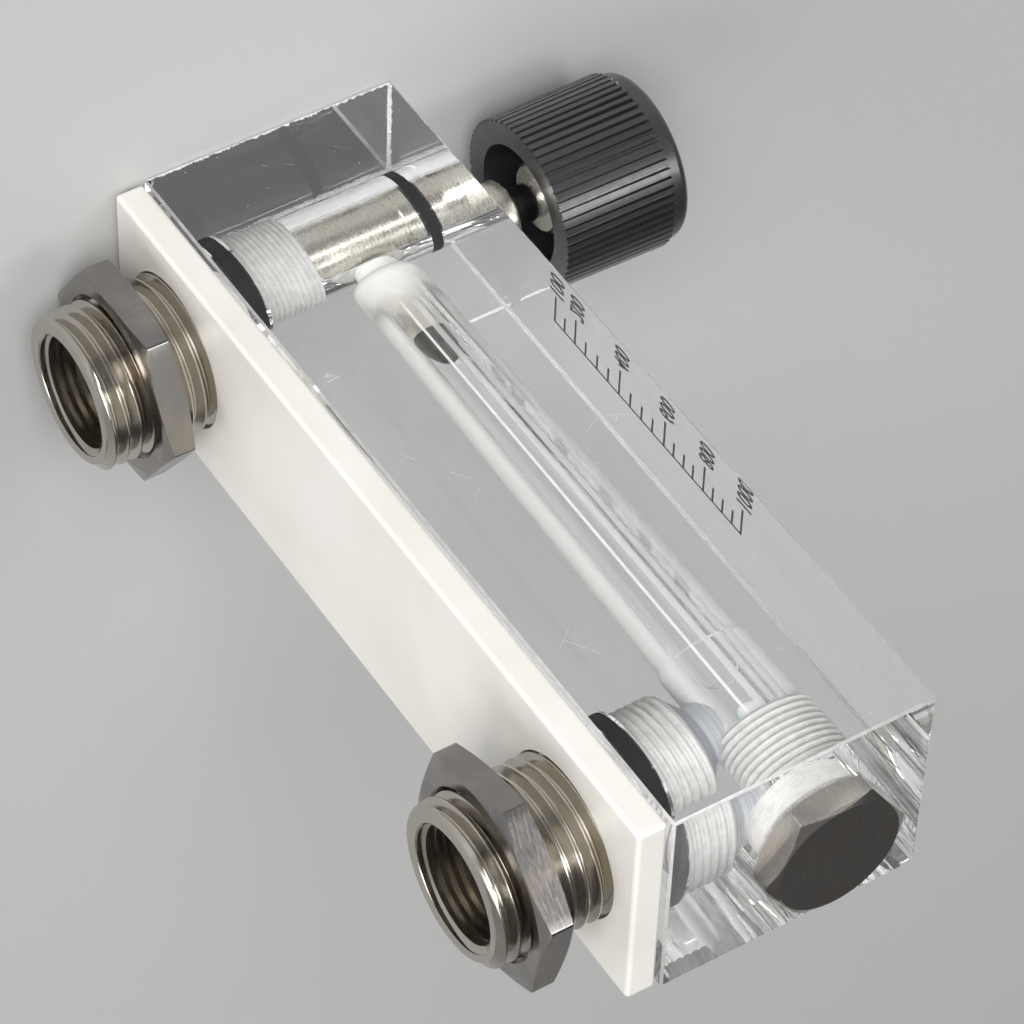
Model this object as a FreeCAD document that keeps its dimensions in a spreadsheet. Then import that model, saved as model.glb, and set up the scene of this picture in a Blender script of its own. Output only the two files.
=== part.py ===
import FreeCAD, Part
import math
import os
import re

import Sketcher

# A panel rotameter: a clear block with a tapered metering bore, a needle valve at its foot,
# a hex plug at its head and two threaded panel studs at its back. Millimetres.
# +Z runs up the metering bore, -Y is the front with the scale and the knob, +Y is the panel side.
# The origin is the centre of the block's bottom end.

# Each row: the name of a size, its value, what it is.
SIZES = [
    # Clear block
    ("block_width", 30.0, "clear block, side to side"),
    ("block_depth", 36.0, "clear block, front to back"),
    ("block_edge", 0.3, "chamfer on the block's edges"),
    ("inlet_height", 15.0, "inlet and valve axis above the bottom end"),
    ("outlet_height", 90.0, "outlet axis above the inlet axis"),
    ("outlet_depth", 15.0, "outlet axis below the block's top end"),
    ("bore_setback", 15.0, "metering bore axis behind the front face"),
    # Metering bore
    ("neck_radius", 3.0, "passage from the valve bore to the metering bore"),
    ("float_seat_rise", 8.0, "floor of the metering bore above the inlet axis"),
    ("bore_foot_radius", 4.85, "metering bore, bottom"),
    ("bore_head_radius", 5.85, "metering bore, top"),
    ("bore_floor_round", 1.7, "round between the bore's floor and its wall"),
    ("chamber_radius", 6.3, "stop chamber over the metering bore"),
    ("chamber_drop", 9.6, "foot of the stop chamber below the outlet axis"),
    # Tapped ports in the block
    ("seal_recess_radius", 8.4, "recess for the port seal"),
    ("seal_recess_depth", 5.0, "depth of that recess"),
    ("port_tap_radius", 7.1, "tap drill radius of both ports"),
    ("inlet_tap_depth", 13.2, "inlet thread, end below the back face"),
    ("outlet_tap_depth", 11.5, "outlet thread, end below the back face"),
    ("outlet_cone_depth", 2.0, "drill point past the outlet thread"),
    ("outlet_pilot_radius", 4.3, "drilled way from the outlet to the stop chamber"),
    ("valve_bore_radius", 6.9, "bore that holds the valve cartridge"),
    # Tapped mouth for the end plug
    ("plug_tap_radius", 6.5, "tap drill radius of the plug's thread"),
    ("plug_tap_depth", 12.5, "plug thread, end below the top end"),
    ("plug_recess_radius", 8.15, "recess for the plug seal"),
    ("plug_recess_depth", 2.0, "depth of that recess"),
    # Back plate
    ("plate_inset", 0.5, "back plate's ends inside the block's"),
    ("plate_thickness", 4.0, "back plate, thickness"),
    ("plate_gap", 0.4, "air between block and plate"),
    ("plate_edge", 0.6, "round on the plate's edges"),
    ("plate_hole_clearance", 0.15, "radial clearance of the plate on the studs"),
    # Threaded studs
    ("stud_radius", 10.48, "panel thread, crest radius"),
    ("stud_length", 19.4, "stud, from the block's back face to its end"),
    ("stud_chamfer", 0.6, "chamfer at the stud's end"),
    ("stud_collar_depth", 2.0, "plain collar inside the seal recess"),
    ("stud_neck_radius", 5.55, "seal groove of the stud"),
    ("spigot_depth", 10.2, "stud's inner end below the back face"),
    ("spigot_chamfer", 0.5, "chamfer at that end"),
    ("pipe_bore_radius", 7.475, "pipe thread in the stud, wall radius"),
    ("pipe_bore_depth", 12.9, "pipe thread, depth"),
    ("pipe_bore_cone", 1.8, "drill point past the pipe thread"),
    ("pipe_mouth_chamfer", 0.6, "countersink of the pipe thread's mouth"),
    ("stud_way_radius", 4.3, "way through the stud"),
    # Panel nuts
    ("nut_flats", 26.0, "panel nut, across flats"),
    ("nut_thickness", 4.0, "panel nut, thickness"),
    ("nut_corner_inset", 0.4, "panel nut, corners turned down by"),
    ("nut_face_inset", 0.2, "panel nut, face circle inside the flats"),
    ("nut_corner_slope", 15.0, "panel nut, slope of the turned corners, degrees"),
    ("inlet_nut_standoff", 5.0, "inlet nut, from the plate"),
    ("outlet_nut_standoff", 7.4, "outlet nut, from the plate"),
    ("inlet_nut_turn", -35.0, "inlet nut, turned about its axis, degrees"),
    ("outlet_nut_turn", -13.0, "outlet nut, turned about its axis, degrees"),
    # Valve cartridge, distances inward or outward from the block's front face
    ("cartridge_end_gap", 0.5, "cartridge, inner end in front of the inlet stud"),
    ("seat_collar_length", 2.5, "collar at the inner end, groove included"),
    ("seat_groove_wall", 0.6, "wall each side of the seat seal's groove"),
    ("seat_groove_floor", 5.85, "floor radius of that groove"),
    ("sleeve_radius", 6.6, "waist of the cartridge"),
    ("front_land_length", 8.9, "thick front of the cartridge"),
    ("front_groove_near", 4.9, "cartridge seal groove, near side"),
    ("front_groove_far", 7.1, "cartridge seal groove, far side"),
    ("front_groove_floor", 4.95, "floor radius of that groove"),
    ("bonnet_radius", 4.55, "bonnet in front of the block"),
    ("bonnet_length", 8.3, "bonnet, length"),
    ("bonnet_chamfer", 0.4, "chamfer at the bonnet's end"),
    ("entry_radius", 3.5, "cartridge mouth towards the inlet"),
    ("entry_depth", 2.3, "depth of that mouth"),
    ("orifice_radius", 1.6, "valve seat orifice"),
    ("orifice_length", 2.5, "valve seat orifice, length"),
    ("gland_radius", 3.0, "smooth bore that the stem seal runs in"),
    ("gland_spare", 0.5, "smooth bore past the piston's outermost place"),
    ("screw_radius", 3.45, "bore of the stem thread"),
    ("cross_hole_radius", 0.8, "cross holes of the cartridge"),
    ("cross_hole_gap", 1.3, "cross holes in front of the valve seat"),
    ("stop_groove_start", 6.0, "stop ring groove in front of the block"),
    ("stop_groove_width", 0.8, "width of that groove"),
    ("stop_groove_radius", 3.9, "floor radius of that groove"),
    ("stop_ring_arc", 330.0, "stop ring, from end to end round its gap, degrees"),
    # Valve stem
    ("stem_travel_in", 4.0, "stem, travel to the closed valve"),
    ("stem_travel_out", 2.0, "stem, travel to the stop ring"),
    ("needle_length", 3.5, "cone of the needle"),
    ("needle_tip_radius", 0.4, "needle, tip"),
    ("needle_clearance", 0.05, "needle in the closed seat, radial"),
    ("needle_neck", 1.0, "cone behind the needle"),
    ("piston_length", 4.0, "piston of the stem"),
    ("piston_groove_lead", 1.3, "stem seal groove, from the piston's inner end"),
    ("piston_groove_width", 1.4, "stem seal groove, width"),
    ("piston_groove_floor", 1.95, "stem seal groove, floor radius"),
    ("shank_radius", 2.4, "stem between piston and thread"),
    ("screw_length", 8.4, "threaded part of the stem"),
    ("rod_radius", 2.6, "stem in front of its thread"),
    ("rod_end", 23.6, "outer end of the stem in front of the block"),
    ("rod_chamfer", 0.4, "chamfer at that end"),
    ("flat_depth", 0.3, "flat for the set screw"),
    ("flat_length", 5.0, "length of that flat"),
    # Knob
    ("knob_standoff", 10.5, "knob's back rim in front of the block"),
    ("knob_rib_length", 16.5, "ribbed part of the knob"),
    ("knob_ring_length", 2.5, "smooth ring at the knob's front"),
    ("knob_back_radius", 11.9, "rib crests at the back rim"),
    ("knob_front_radius", 12.15, "rib crests at the ring"),
    ("knob_ring_radius", 11.6, "smooth ring"),
    ("knob_ring_round", 1.1, "round of the ring's outer edge"),
    ("knob_dish_radius", 9.4, "dish in the knob's front"),
    ("knob_dish_depth", 0.5, "depth of that dish"),
    ("knob_skirt_radius", 8.5, "hollow of the knob"),
    ("knob_skirt_depth", 9.0, "depth of that hollow"),
    ("rib_count", 60, "ribs round the knob"),
    ("flute_depth", 0.6, "flute between two ribs, at the ring"),
    ("flute_mouth", 0.7, "flute, width at the crests"),
    ("flute_floor", 0.3, "flute, width at its floor"),
    ("insert_radius", 5.0, "metal insert of the knob"),
    ("insert_lead", 2.5, "insert's inner end inside the back rim"),
    ("insert_length", 12.0, "insert, length"),
    ("insert_chamfer", 0.5, "chamfer at the insert's ends"),
    ("set_screw_radius", 1.6, "set screw"),
    ("set_screw_length", 5.5, "set screw, length"),
    ("set_screw_place", 22.3, "set screw axis in front of the block"),
    ("set_screw_socket", 1.5, "hexagon socket of the set screw, across flats"),
    ("set_screw_socket_depth", 1.8, "depth of that socket"),
    ("set_screw_point", 0.4, "cone at the set screw's tip"),
    # Metering float
    ("float_length", 12.6, "float, length"),
    ("float_lift", 0.1, "float's cone above its seat"),
    ("float_foot_radius", 2.4, "float, foot"),
    ("float_body_radius", 3.4, "float, body"),
    ("float_head_radius", 4.4, "float, head"),
    ("float_head_length", 1.6, "float, head"),
    ("float_flare", 0.5, "cone under the head"),
    ("float_dimple_radius", 1.4, "centre mark on the float's top"),
    ("float_dimple_depth", 0.6, "depth of that mark"),
    # End plug and float stop
    ("plug_flats", 17.0, "hex plug, across flats"),
    ("plug_head_height", 4.0, "hex plug, head"),
    ("plug_turn", 34.0, "hex plug, turned about its axis, degrees"),
    ("plug_corner_inset", 0.5, "hex plug, corners turned down by"),
    ("plug_face_inset", 0.15, "hex plug, face circle inside the flats"),
    ("plug_corner_slope", 30.0, "slope of the head's turned corners, degrees"),
    ("plug_shank_length", 11.0, "hex plug, shank below the top end"),
    ("plug_neck_radius", 6.1, "hex plug, seal groove"),
    ("plug_chamfer", 0.5, "chamfer at the shank's end"),
    ("stop_pin_radius", 3.1, "float stop pin"),
    ("stop_pin_depth", 16.7, "tip of the stop pin below the top end"),
    ("stop_socket_depth", 5.0, "socket for the stop pin in the plug"),
    ("stop_pin_round", 1.6, "round of the pin's tip"),
    # Fits
    ("fixed_fit", 0.05, "radial clearance of pieces that stay put"),
    ("running_fit", 0.06, "radial clearance of pieces that move"),
    ("seal_squeeze_gap", 0.04, "rubber ring to the wall and floor of its groove"),
    ("ring_end_gap", 0.1, "stop ring, axial play in its groove"),
]
NAMES = {name for name, value, meaning in SIZES}

PANEL_SIDE = FreeCAD.Rotation(FreeCAD.Vector(1, 0, 0), -90)
FRONT_SIDE = FreeCAD.Rotation(FreeCAD.Vector(1, 0, 0), 90)
UPWARD = FreeCAD.Rotation()

# Places that several pieces share, each written once as a formula of the sizes.
BACK_FACE = "block_depth / 2"
FRONT_FACE = "-block_depth / 2"
BORE_AXIS = "bore_setback - block_depth / 2"
OUTLET_AXIS = "inlet_height + outlet_height"
BLOCK_TOP = "inlet_height + outlet_height + outlet_depth"
FLOAT_SEAT = "inlet_height + float_seat_rise"
PLATE_BACK = "block_depth / 2 + plate_gap + plate_thickness"
CARTRIDGE_END = "-(block_depth - spigot_depth - cartridge_end_gap)"
SEAT_FRONT = CARTRIDGE_END + " + entry_depth + orifice_length"
NEEDLE_BASE = SEAT_FRONT + " + stem_travel_in"
PISTON_START = NEEDLE_BASE + " + needle_neck"
SCREW_END = "stop_groove_start - ring_end_gap - stem_travel_out"
KNOB_FRONT = "knob_standoff + knob_rib_length + knob_ring_length"
INSERT_START = "knob_standoff + insert_lead"


def formula(text):
    """A formula over the sheet's sizes, as the document reads it."""
    def cell(word):
        name = word.group()
        return "sizes." + name if name in NAMES else name

    return re.sub(r"[a-z_]+", cell, text)


def fill_sheet(document):
    sheet = document.addObject("Spreadsheet::Sheet", "sizes")
    for row, (name, value, meaning) in enumerate(SIZES, start=1):
        sheet.set(f"A{row}", meaning)
        sheet.set(f"B{row}", str(value))
        sheet.setAlias(f"B{row}", name)
    document.recompute()
    return sheet


def new_body(document, label, turn=UPWARD, place=("0", "0", "0")):
    """An empty body, turned and put where its formulas say."""
    body = document.addObject("PartDesign::Body", label)
    body.Label = label
    body.Placement = FreeCAD.Placement(FreeCAD.Vector(), turn)
    for axis, distance in zip("xyz", place):
        body.setExpression(f"Placement.Base.{axis}", formula(distance))
    return body


def sketch_on(body, role, name):
    sketch = body.newObject("Sketcher::SketchObject", name)
    plane = next(plane for plane in body.Origin.OriginFeatures if plane.Role == role)
    sketch.AttachmentSupport = (plane, [""])
    sketch.MapMode = "FlatFace"
    return sketch


def pin_point(sketch, line, end, across, along):
    """Fix one end of a line by two formulas, measured from the sketch's origin."""
    for kind, distance in (("DistanceX", across), ("DistanceY", along)):
        index = sketch.addConstraint(Sketcher.Constraint(kind, line, end, 1.0))
        sketch.setExpression(f"Constraints[{index}]", formula(distance))


def draw_outline(sketch, points):
    """A closed outline of straight lines, each corner fixed by its two formulas."""
    first = sketch.GeometryCount
    count = len(points)
    turns = [2 * math.pi * k / count for k in range(count)]
    corners = [FreeCAD.Vector(math.cos(turn), math.sin(turn), 0) for turn in turns]
    for k in range(count):
        sketch.addGeometry(Part.LineSegment(corners[k], corners[(k + 1) % count]), False)
    for k in range(count):
        sketch.addConstraint(Sketcher.Constraint("Coincident", first + k, 2, first + (k + 1) % count, 1))
    for k, (across, along) in enumerate(points):
        pin_point(sketch, first + k, 1, across, along)
    return sketch


def draw_circle(sketch, across, along, radius):
    circle = sketch.addGeometry(Part.Circle(FreeCAD.Vector(1, 1, 0), FreeCAD.Vector(0, 0, 1), 1), False)
    pin_point(sketch, circle, 3, across, along)
    index = sketch.addConstraint(Sketcher.Constraint("Radius", circle, 1.0))
    sketch.setExpression(f"Constraints[{index}]", formula(radius))
    return sketch


def draw_axis(sketch, start, end):
    """A construction line to revolve about, from one pinned point to another."""
    line = sketch.addGeometry(Part.LineSegment(FreeCAD.Vector(), FreeCAD.Vector(1, 1, 0)), True)
    pin_point(sketch, line, 1, *start)
    pin_point(sketch, line, 2, *end)


def rectangle(width, height):
    return [(f"-({width}) / 2", f"-({height}) / 2"), (f"({width}) / 2", f"-({height}) / 2"),
            (f"({width}) / 2", f"({height}) / 2"), (f"-({width}) / 2", f"({height}) / 2")]


def hexagon(flats, turn="0"):
    return [(f"{flats} / sqrt(3) * cos(({turn} + {60 * k}) * 1 deg)",
             f"{flats} / sqrt(3) * sin(({turn} + {60 * k}) * 1 deg)") for k in range(6)]


def pad(body, sketch, length):
    feature = body.newObject("PartDesign::Pad", "pad")
    feature.Profile = sketch
    feature.setExpression("Length", formula(length))
    body.Document.recompute()
    return feature


def cut_down(body, feature):
    """Recompute a cut and make sure that it took material away."""
    before = body.Tip.BaseFeature.Shape.Volume
    body.Document.recompute()
    if feature.Shape.Volume > before - 1e-6:
        raise ValueError(f"{body.Label}: {feature.Name} cuts nothing")
    return feature


def pocket(body, sketch, length, reversed_side=False, both_sides=False):
    feature = body.newObject("PartDesign::Pocket", "pocket")
    feature.Profile = sketch
    feature.setExpression("Length", formula(length))
    feature.Reversed = reversed_side
    feature.Midplane = both_sides
    return cut_down(body, feature)


def revolve(body, sketch, arc="360"):
    feature = body.newObject("PartDesign::Revolution", "revolution")
    feature.Profile = sketch
    feature.ReferenceAxis = (sketch, ["V_Axis"])
    feature.setExpression("Angle", formula(f"{arc} * 1 deg"))
    body.Document.recompute()
    return feature


def groove(body, sketch, axis="V_Axis"):
    feature = body.newObject("PartDesign::Groove", "groove")
    feature.Profile = sketch
    feature.ReferenceAxis = (sketch, [axis])
    feature.Angle = 360.0
    return cut_down(body, feature)


def every_edge(feature):
    return [f"Edge{number + 1}" for number in range(len(feature.Shape.Edges))]


def soften(body, kind, base, edges, size):
    """A fillet or a chamfer on the named edges of a feature."""
    feature = body.newObject(kind, "edge_finish")
    feature.Base = (base, edges)
    feature.setExpression("Size" if kind.endswith("Chamfer") else "Radius", formula(size))
    body.Document.recompute()
    return feature


def turned(document, label, outline, turn, place):
    """A turned piece: an outline of (radius, distance along the axis), spun about local Z."""
    body = new_body(document, label, turn, place)
    revolve(body, draw_outline(sketch_on(body, "XZ_Plane", "outline"), outline))
    return body


def rubber_ring(document, label, floor, wall, middle, turn, place):
    """A round rubber ring that fills the room between a groove's floor and the wall round it."""
    body = new_body(document, label, turn, place)
    sketch = sketch_on(body, "XZ_Plane", "cord")
    draw_circle(sketch, f"({wall} + {floor}) / 2", middle, f"({wall} - {floor}) / 2 - seal_squeeze_gap")
    revolve(body, sketch)
    return body


def turn_corners(body, flats, corner_inset, face_inset, slope, height):
    """Turn a hexagon's corners down to a bar's radius, and to a face circle at both ends."""
    corner = f"({flats} / sqrt(3) - {corner_inset})"
    face = f"({flats} / 2 - {face_inset})"
    rise = f"({corner} - {face}) * tan({slope} * 1 deg)"
    outline = [(face, "0"), (corner, rise), (corner, f"{height} - {rise}"),
               (face, height), (flats, height), (flats, "0")]
    groove(body, draw_outline(sketch_on(body, "XZ_Plane", "corner_cut"), outline))


def make_block(document):
    """The clear block: inlet and valve bore, outlet, tapered metering bore and plug mouth."""
    body = new_body(document, "flow_block")
    section = draw_outline(sketch_on(body, "XY_Plane", "section"), rectangle("block_width", "block_depth"))
    blank = pad(body, section, BLOCK_TOP)
    soften(body, "PartDesign::Chamfer", blank, every_edge(blank), "block_edge")
    cut_valve_way(body)
    cut_outlet_way(body)
    cut_metering_way(body)
    return body


def cut_valve_way(body):
    """Seal recess and tapped inlet at the back, and the valve bore through to the front."""
    recess = f"{BACK_FACE} - seal_recess_depth"
    thread_end = f"{BACK_FACE} - inlet_tap_depth"
    sketch = sketch_on(body, "YZ_Plane", "valve_way")
    draw_outline(sketch, [(BACK_FACE, "inlet_height"),
                          (BACK_FACE, "inlet_height + seal_recess_radius"),
                          (recess, "inlet_height + seal_recess_radius"),
                          (recess, "inlet_height + port_tap_radius"),
                          (thread_end, "inlet_height + port_tap_radius"),
                          (thread_end, "inlet_height + valve_bore_radius"),
                          (FRONT_FACE, "inlet_height + valve_bore_radius"), (FRONT_FACE, "inlet_height")])
    draw_axis(sketch, (FRONT_FACE, "inlet_height"), (BACK_FACE, "inlet_height"))
    groove(body, sketch, "Axis0")


def cut_outlet_way(body):
    """Seal recess, tapped outlet and the drilled way into the stop chamber."""
    recess = f"{BACK_FACE} - seal_recess_depth"
    thread_end = f"{BACK_FACE} - outlet_tap_depth"
    sketch = sketch_on(body, "YZ_Plane", "outlet_way")
    draw_outline(sketch, [(BACK_FACE, OUTLET_AXIS), (BACK_FACE, f"{OUTLET_AXIS} + seal_recess_radius"),
                          (recess, f"{OUTLET_AXIS} + seal_recess_radius"),
                          (recess, f"{OUTLET_AXIS} + port_tap_radius"),
                          (thread_end, f"{OUTLET_AXIS} + port_tap_radius"),
                          (f"{thread_end} - outlet_cone_depth", f"{OUTLET_AXIS} + outlet_pilot_radius"),
                          (BORE_AXIS, f"{OUTLET_AXIS} + outlet_pilot_radius"), (BORE_AXIS, OUTLET_AXIS)])
    draw_axis(sketch, (BORE_AXIS, OUTLET_AXIS), (BACK_FACE, OUTLET_AXIS))
    groove(body, sketch, "Axis0")


def cut_metering_way(body):
    """From the valve bore up: neck, tapered bore, stop chamber, plug thread and seal recess."""
    chamber_foot = f"{OUTLET_AXIS} - chamber_drop"
    thread_end = f"{BLOCK_TOP} - plug_tap_depth"
    recess = f"{BLOCK_TOP} - plug_recess_depth"
    levels = [("neck_radius", "inlet_height"), ("neck_radius", FLOAT_SEAT),
              ("bore_foot_radius", FLOAT_SEAT), ("bore_head_radius", chamber_foot),
              ("chamber_radius", chamber_foot), ("chamber_radius", thread_end),
              ("plug_tap_radius", thread_end), ("plug_tap_radius", recess),
              ("plug_recess_radius", recess), ("plug_recess_radius", BLOCK_TOP)]
    sketch = sketch_on(body, "YZ_Plane", "metering_way")
    draw_outline(sketch, [(BORE_AXIS, "inlet_height")]
                 + [(f"{BORE_AXIS} + {radius}", level) for radius, level in levels]
                 + [(BORE_AXIS, BLOCK_TOP)])
    draw_axis(sketch, (BORE_AXIS, "inlet_height"), (BORE_AXIS, BLOCK_TOP))
    way = groove(body, sketch, "Axis0")
    sizes = body.Document.sizes
    floor = sizes.inlet_height + sizes.float_seat_rise
    soften(body, "PartDesign::Fillet", way, [round_edge(way.Shape, sizes.bore_foot_radius, floor)],
           "bore_floor_round")


def round_edge(shape, radius, height):
    """The name of the level round edge with this radius and height."""
    for number, edge in enumerate(shape.Edges, start=1):
        curve = edge.Curve
        if isinstance(curve, Part.Circle) and abs(curve.Radius - radius) < 1e-4 \
                and abs(curve.Center.z - height) < 1e-4 and abs(abs(curve.Axis.z) - 1) < 1e-6:
            return f"Edge{number}"
    raise ValueError(f"no round edge of radius {radius} at height {height}")


def make_back_plate(document):
    """The white plate on the studs, with rounded edges and two clearance holes."""
    body = new_body(document, "back_plate", PANEL_SIDE, ("0", f"{BACK_FACE} + plate_gap", "0"))
    bottom = "-plate_inset"
    top = f"-({BLOCK_TOP} - plate_inset)"
    outline = [("-block_width / 2", top), ("block_width / 2", top),
               ("block_width / 2", bottom), ("-block_width / 2", bottom)]
    blank = pad(body, draw_outline(sketch_on(body, "XY_Plane", "outline"), outline), "plate_thickness")
    soften(body, "PartDesign::Fillet", blank, every_edge(blank), "plate_edge")
    holes = sketch_on(body, "XY_Plane", "stud_holes")
    for height in ("inlet_height", OUTLET_AXIS):
        draw_circle(holes, "0", f"-({height})", "stud_radius + plate_hole_clearance")
    pocket(body, holes, "plate_thickness", reversed_side=True)
    return body


def make_stud(document, label, height):
    """A hollow stud: panel thread outside, pipe thread inside, seal groove and spigot in the block."""
    spigot = "port_tap_radius - fixed_fit"
    collar = "seal_recess_radius - fixed_fit"
    mouth = "stud_length - pipe_mouth_chamfer"
    floor = "stud_length - pipe_bore_depth"
    outline = [("stud_way_radius", "-spigot_depth"), (f"{spigot} - spigot_chamfer", "-spigot_depth"),
               (spigot, "-spigot_depth + spigot_chamfer"), (spigot, "-seal_recess_depth"),
               ("stud_neck_radius", "-seal_recess_depth"), ("stud_neck_radius", "-stud_collar_depth"),
               (collar, "-stud_collar_depth"), (collar, "0"), ("stud_radius", "0"),
               ("stud_radius", "stud_length - stud_chamfer"), ("stud_radius - stud_chamfer", "stud_length"),
               ("pipe_bore_radius + pipe_mouth_chamfer", "stud_length"), ("pipe_bore_radius", mouth),
               ("pipe_bore_radius", floor), ("stud_way_radius", f"{floor} - pipe_bore_cone")]
    return turned(document, label, outline, PANEL_SIDE, ("0", BACK_FACE, height))


def make_port_seal(document, label, height):
    return rubber_ring(document, label, "stud_neck_radius", "seal_recess_radius",
                       "-(seal_recess_depth + stud_collar_depth) / 2", PANEL_SIDE, ("0", BACK_FACE, height))


def make_panel_nut(document, label, height, standoff, turn):
    """A thin hexagon nut on the stud's panel thread, turned down at both faces."""
    body = new_body(document, label, PANEL_SIDE, ("0", f"{PLATE_BACK} + {standoff}", height))
    sketch = draw_outline(sketch_on(body, "XY_Plane", "hexagon"), hexagon("nut_flats", turn))
    draw_circle(sketch, "0", "0", "stud_radius + running_fit")
    pad(body, sketch, "nut_thickness")
    turn_corners(body, "nut_flats", "nut_corner_inset", "nut_face_inset", "nut_corner_slope", "nut_thickness")
    return body


def make_cartridge(document):
    """The turned valve body in the block: seat, gland, stem thread and bonnet."""
    land = "valve_bore_radius - fixed_fit"
    inner = CARTRIDGE_END
    seat = f"{inner} + entry_depth"
    gland_end = f"{PISTON_START} + piston_length + stem_travel_out + gland_spare"
    stop_end = "stop_groove_start + stop_groove_width"
    seat_groove = (f"{inner} + seat_groove_wall", f"{inner} + seat_collar_length - seat_groove_wall")
    outline = [("entry_radius", inner), (land, inner), (land, seat_groove[0]),
               ("seat_groove_floor", seat_groove[0]), ("seat_groove_floor", seat_groove[1]),
               (land, seat_groove[1]), (land, f"{inner} + seat_collar_length"),
               ("sleeve_radius", f"{inner} + seat_collar_length"), ("sleeve_radius", "-front_land_length"),
               (land, "-front_land_length"), (land, "-front_groove_far"),
               ("front_groove_floor", "-front_groove_far"), ("front_groove_floor", "-front_groove_near"),
               (land, "-front_groove_near"), (land, "0"), ("bonnet_radius", "0"),
               ("bonnet_radius", "bonnet_length - bonnet_chamfer"),
               ("bonnet_radius - bonnet_chamfer", "bonnet_length"), ("screw_radius", "bonnet_length"),
               ("screw_radius", stop_end), ("stop_groove_radius", stop_end),
               ("stop_groove_radius", "stop_groove_start"), ("screw_radius", "stop_groove_start"),
               ("screw_radius", gland_end), ("gland_radius", gland_end), ("gland_radius", SEAT_FRONT),
               ("orifice_radius", SEAT_FRONT), ("orifice_radius", seat), ("entry_radius", seat)]
    body = turned(document, "valve_cartridge", outline, FRONT_SIDE, ("0", FRONT_FACE, "inlet_height"))
    holes = sketch_on(body, "XZ_Plane", "cross_holes")
    draw_circle(holes, "0", f"{SEAT_FRONT} + cross_hole_gap", "cross_hole_radius")
    pocket(body, holes, "2 * valve_bore_radius", both_sides=True)
    return body


def make_stop_ring(document):
    """The open spring ring in the bonnet that keeps the stem from coming out."""
    body = new_body(document, "stem_stop_ring", FRONT_SIDE, ("0", FRONT_FACE, "inlet_height"))
    near = "stop_groove_start + ring_end_gap / 2"
    far = "stop_groove_start + stop_groove_width - ring_end_gap / 2"
    inner = "rod_radius + running_fit"
    outer = "stop_groove_radius - fixed_fit"
    sketch = draw_outline(sketch_on(body, "XZ_Plane", "section"),
                          [(inner, near), (outer, near), (outer, far), (inner, far)])
    revolve(body, sketch, "stop_ring_arc")
    return body


def make_stem(document):
    """The needle, its piston with the seal groove, the screw and the rod that carries the knob."""
    needle = "orifice_radius - needle_clearance"
    piston = "gland_radius - running_fit"
    screw = "screw_radius - running_fit"
    piston_end = f"{PISTON_START} + piston_length"
    groove_start = f"{PISTON_START} + piston_groove_lead"
    screw_start = f"{SCREW_END} - screw_length"
    tip = f"{NEEDLE_BASE} - needle_length"
    groove_end = f"{groove_start} + piston_groove_width"
    outline = [("0", tip), ("needle_tip_radius", tip), (needle, NEEDLE_BASE),
               ("piston_groove_floor", PISTON_START), (piston, PISTON_START), (piston, groove_start),
               ("piston_groove_floor", groove_start), ("piston_groove_floor", groove_end),
               (piston, groove_end), (piston, piston_end), ("shank_radius", piston_end),
               ("shank_radius", screw_start), (screw, screw_start), (screw, SCREW_END),
               ("rod_radius", SCREW_END), ("rod_radius", "rod_end - rod_chamfer"),
               ("rod_radius - rod_chamfer", "rod_end"), ("0", "rod_end")]
    body = turned(document, "valve_stem", outline, FRONT_SIDE, ("0", FRONT_FACE, "inlet_height"))
    start = "set_screw_place - flat_length / 2"
    end = "set_screw_place + flat_length / 2"
    flat = "-(rod_radius - flat_depth)"
    outside = "-2 * rod_radius"
    sketch = draw_outline(sketch_on(body, "XZ_Plane", "flat"),
                          [(flat, start), (flat, end), (outside, end), (outside, start)])
    pocket(body, sketch, "4 * rod_radius", both_sides=True)
    return body


def make_stem_seal(document):
    """The rubber ring in the piston's groove: it slides with the stem and need not turn."""
    middle = f"{PISTON_START} + piston_groove_lead + piston_groove_width / 2"
    return rubber_ring(document, "stem_seal", "piston_groove_floor", "gland_radius", middle,
                       FRONT_SIDE, ("0", FRONT_FACE, "inlet_height"))


def make_knob(document):
    """The ribbed knob: drafted ribs, smooth front ring, dished face and hollow skirt."""
    back = "knob_standoff"
    ring = "knob_standoff + knob_rib_length"
    hollow = "knob_standoff + knob_skirt_depth"
    socket = "insert_radius + fixed_fit"
    socket_end = f"{INSERT_START} + insert_length + fixed_fit"
    dish = f"{KNOB_FRONT} - knob_dish_depth"
    outline = [("knob_skirt_radius", back), ("knob_back_radius", back), ("knob_front_radius", ring),
               ("knob_ring_radius", ring), ("knob_ring_radius", KNOB_FRONT),
               ("knob_dish_radius", KNOB_FRONT), ("knob_dish_radius", dish), ("0", dish),
               ("0", socket_end), (socket, socket_end), (socket, hollow), ("knob_skirt_radius", hollow)]
    body = turned(document, "knob", outline, FRONT_SIDE, ("0", FRONT_FACE, "inlet_height"))
    sizes = document.sizes
    front = sizes.knob_standoff + sizes.knob_rib_length + sizes.knob_ring_length
    rim = round_edge(body.Tip.Shape, sizes.knob_ring_radius, front)
    soften(body, "PartDesign::Fillet", body.Tip, [rim], "knob_ring_round")
    hole = draw_circle(sketch_on(body, "YZ_Plane", "screw_hole"), "0", "set_screw_place",
                       "set_screw_radius + fixed_fit")
    pocket(body, hole, "2 * knob_front_radius")
    cut_flutes(body)
    return body


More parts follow.
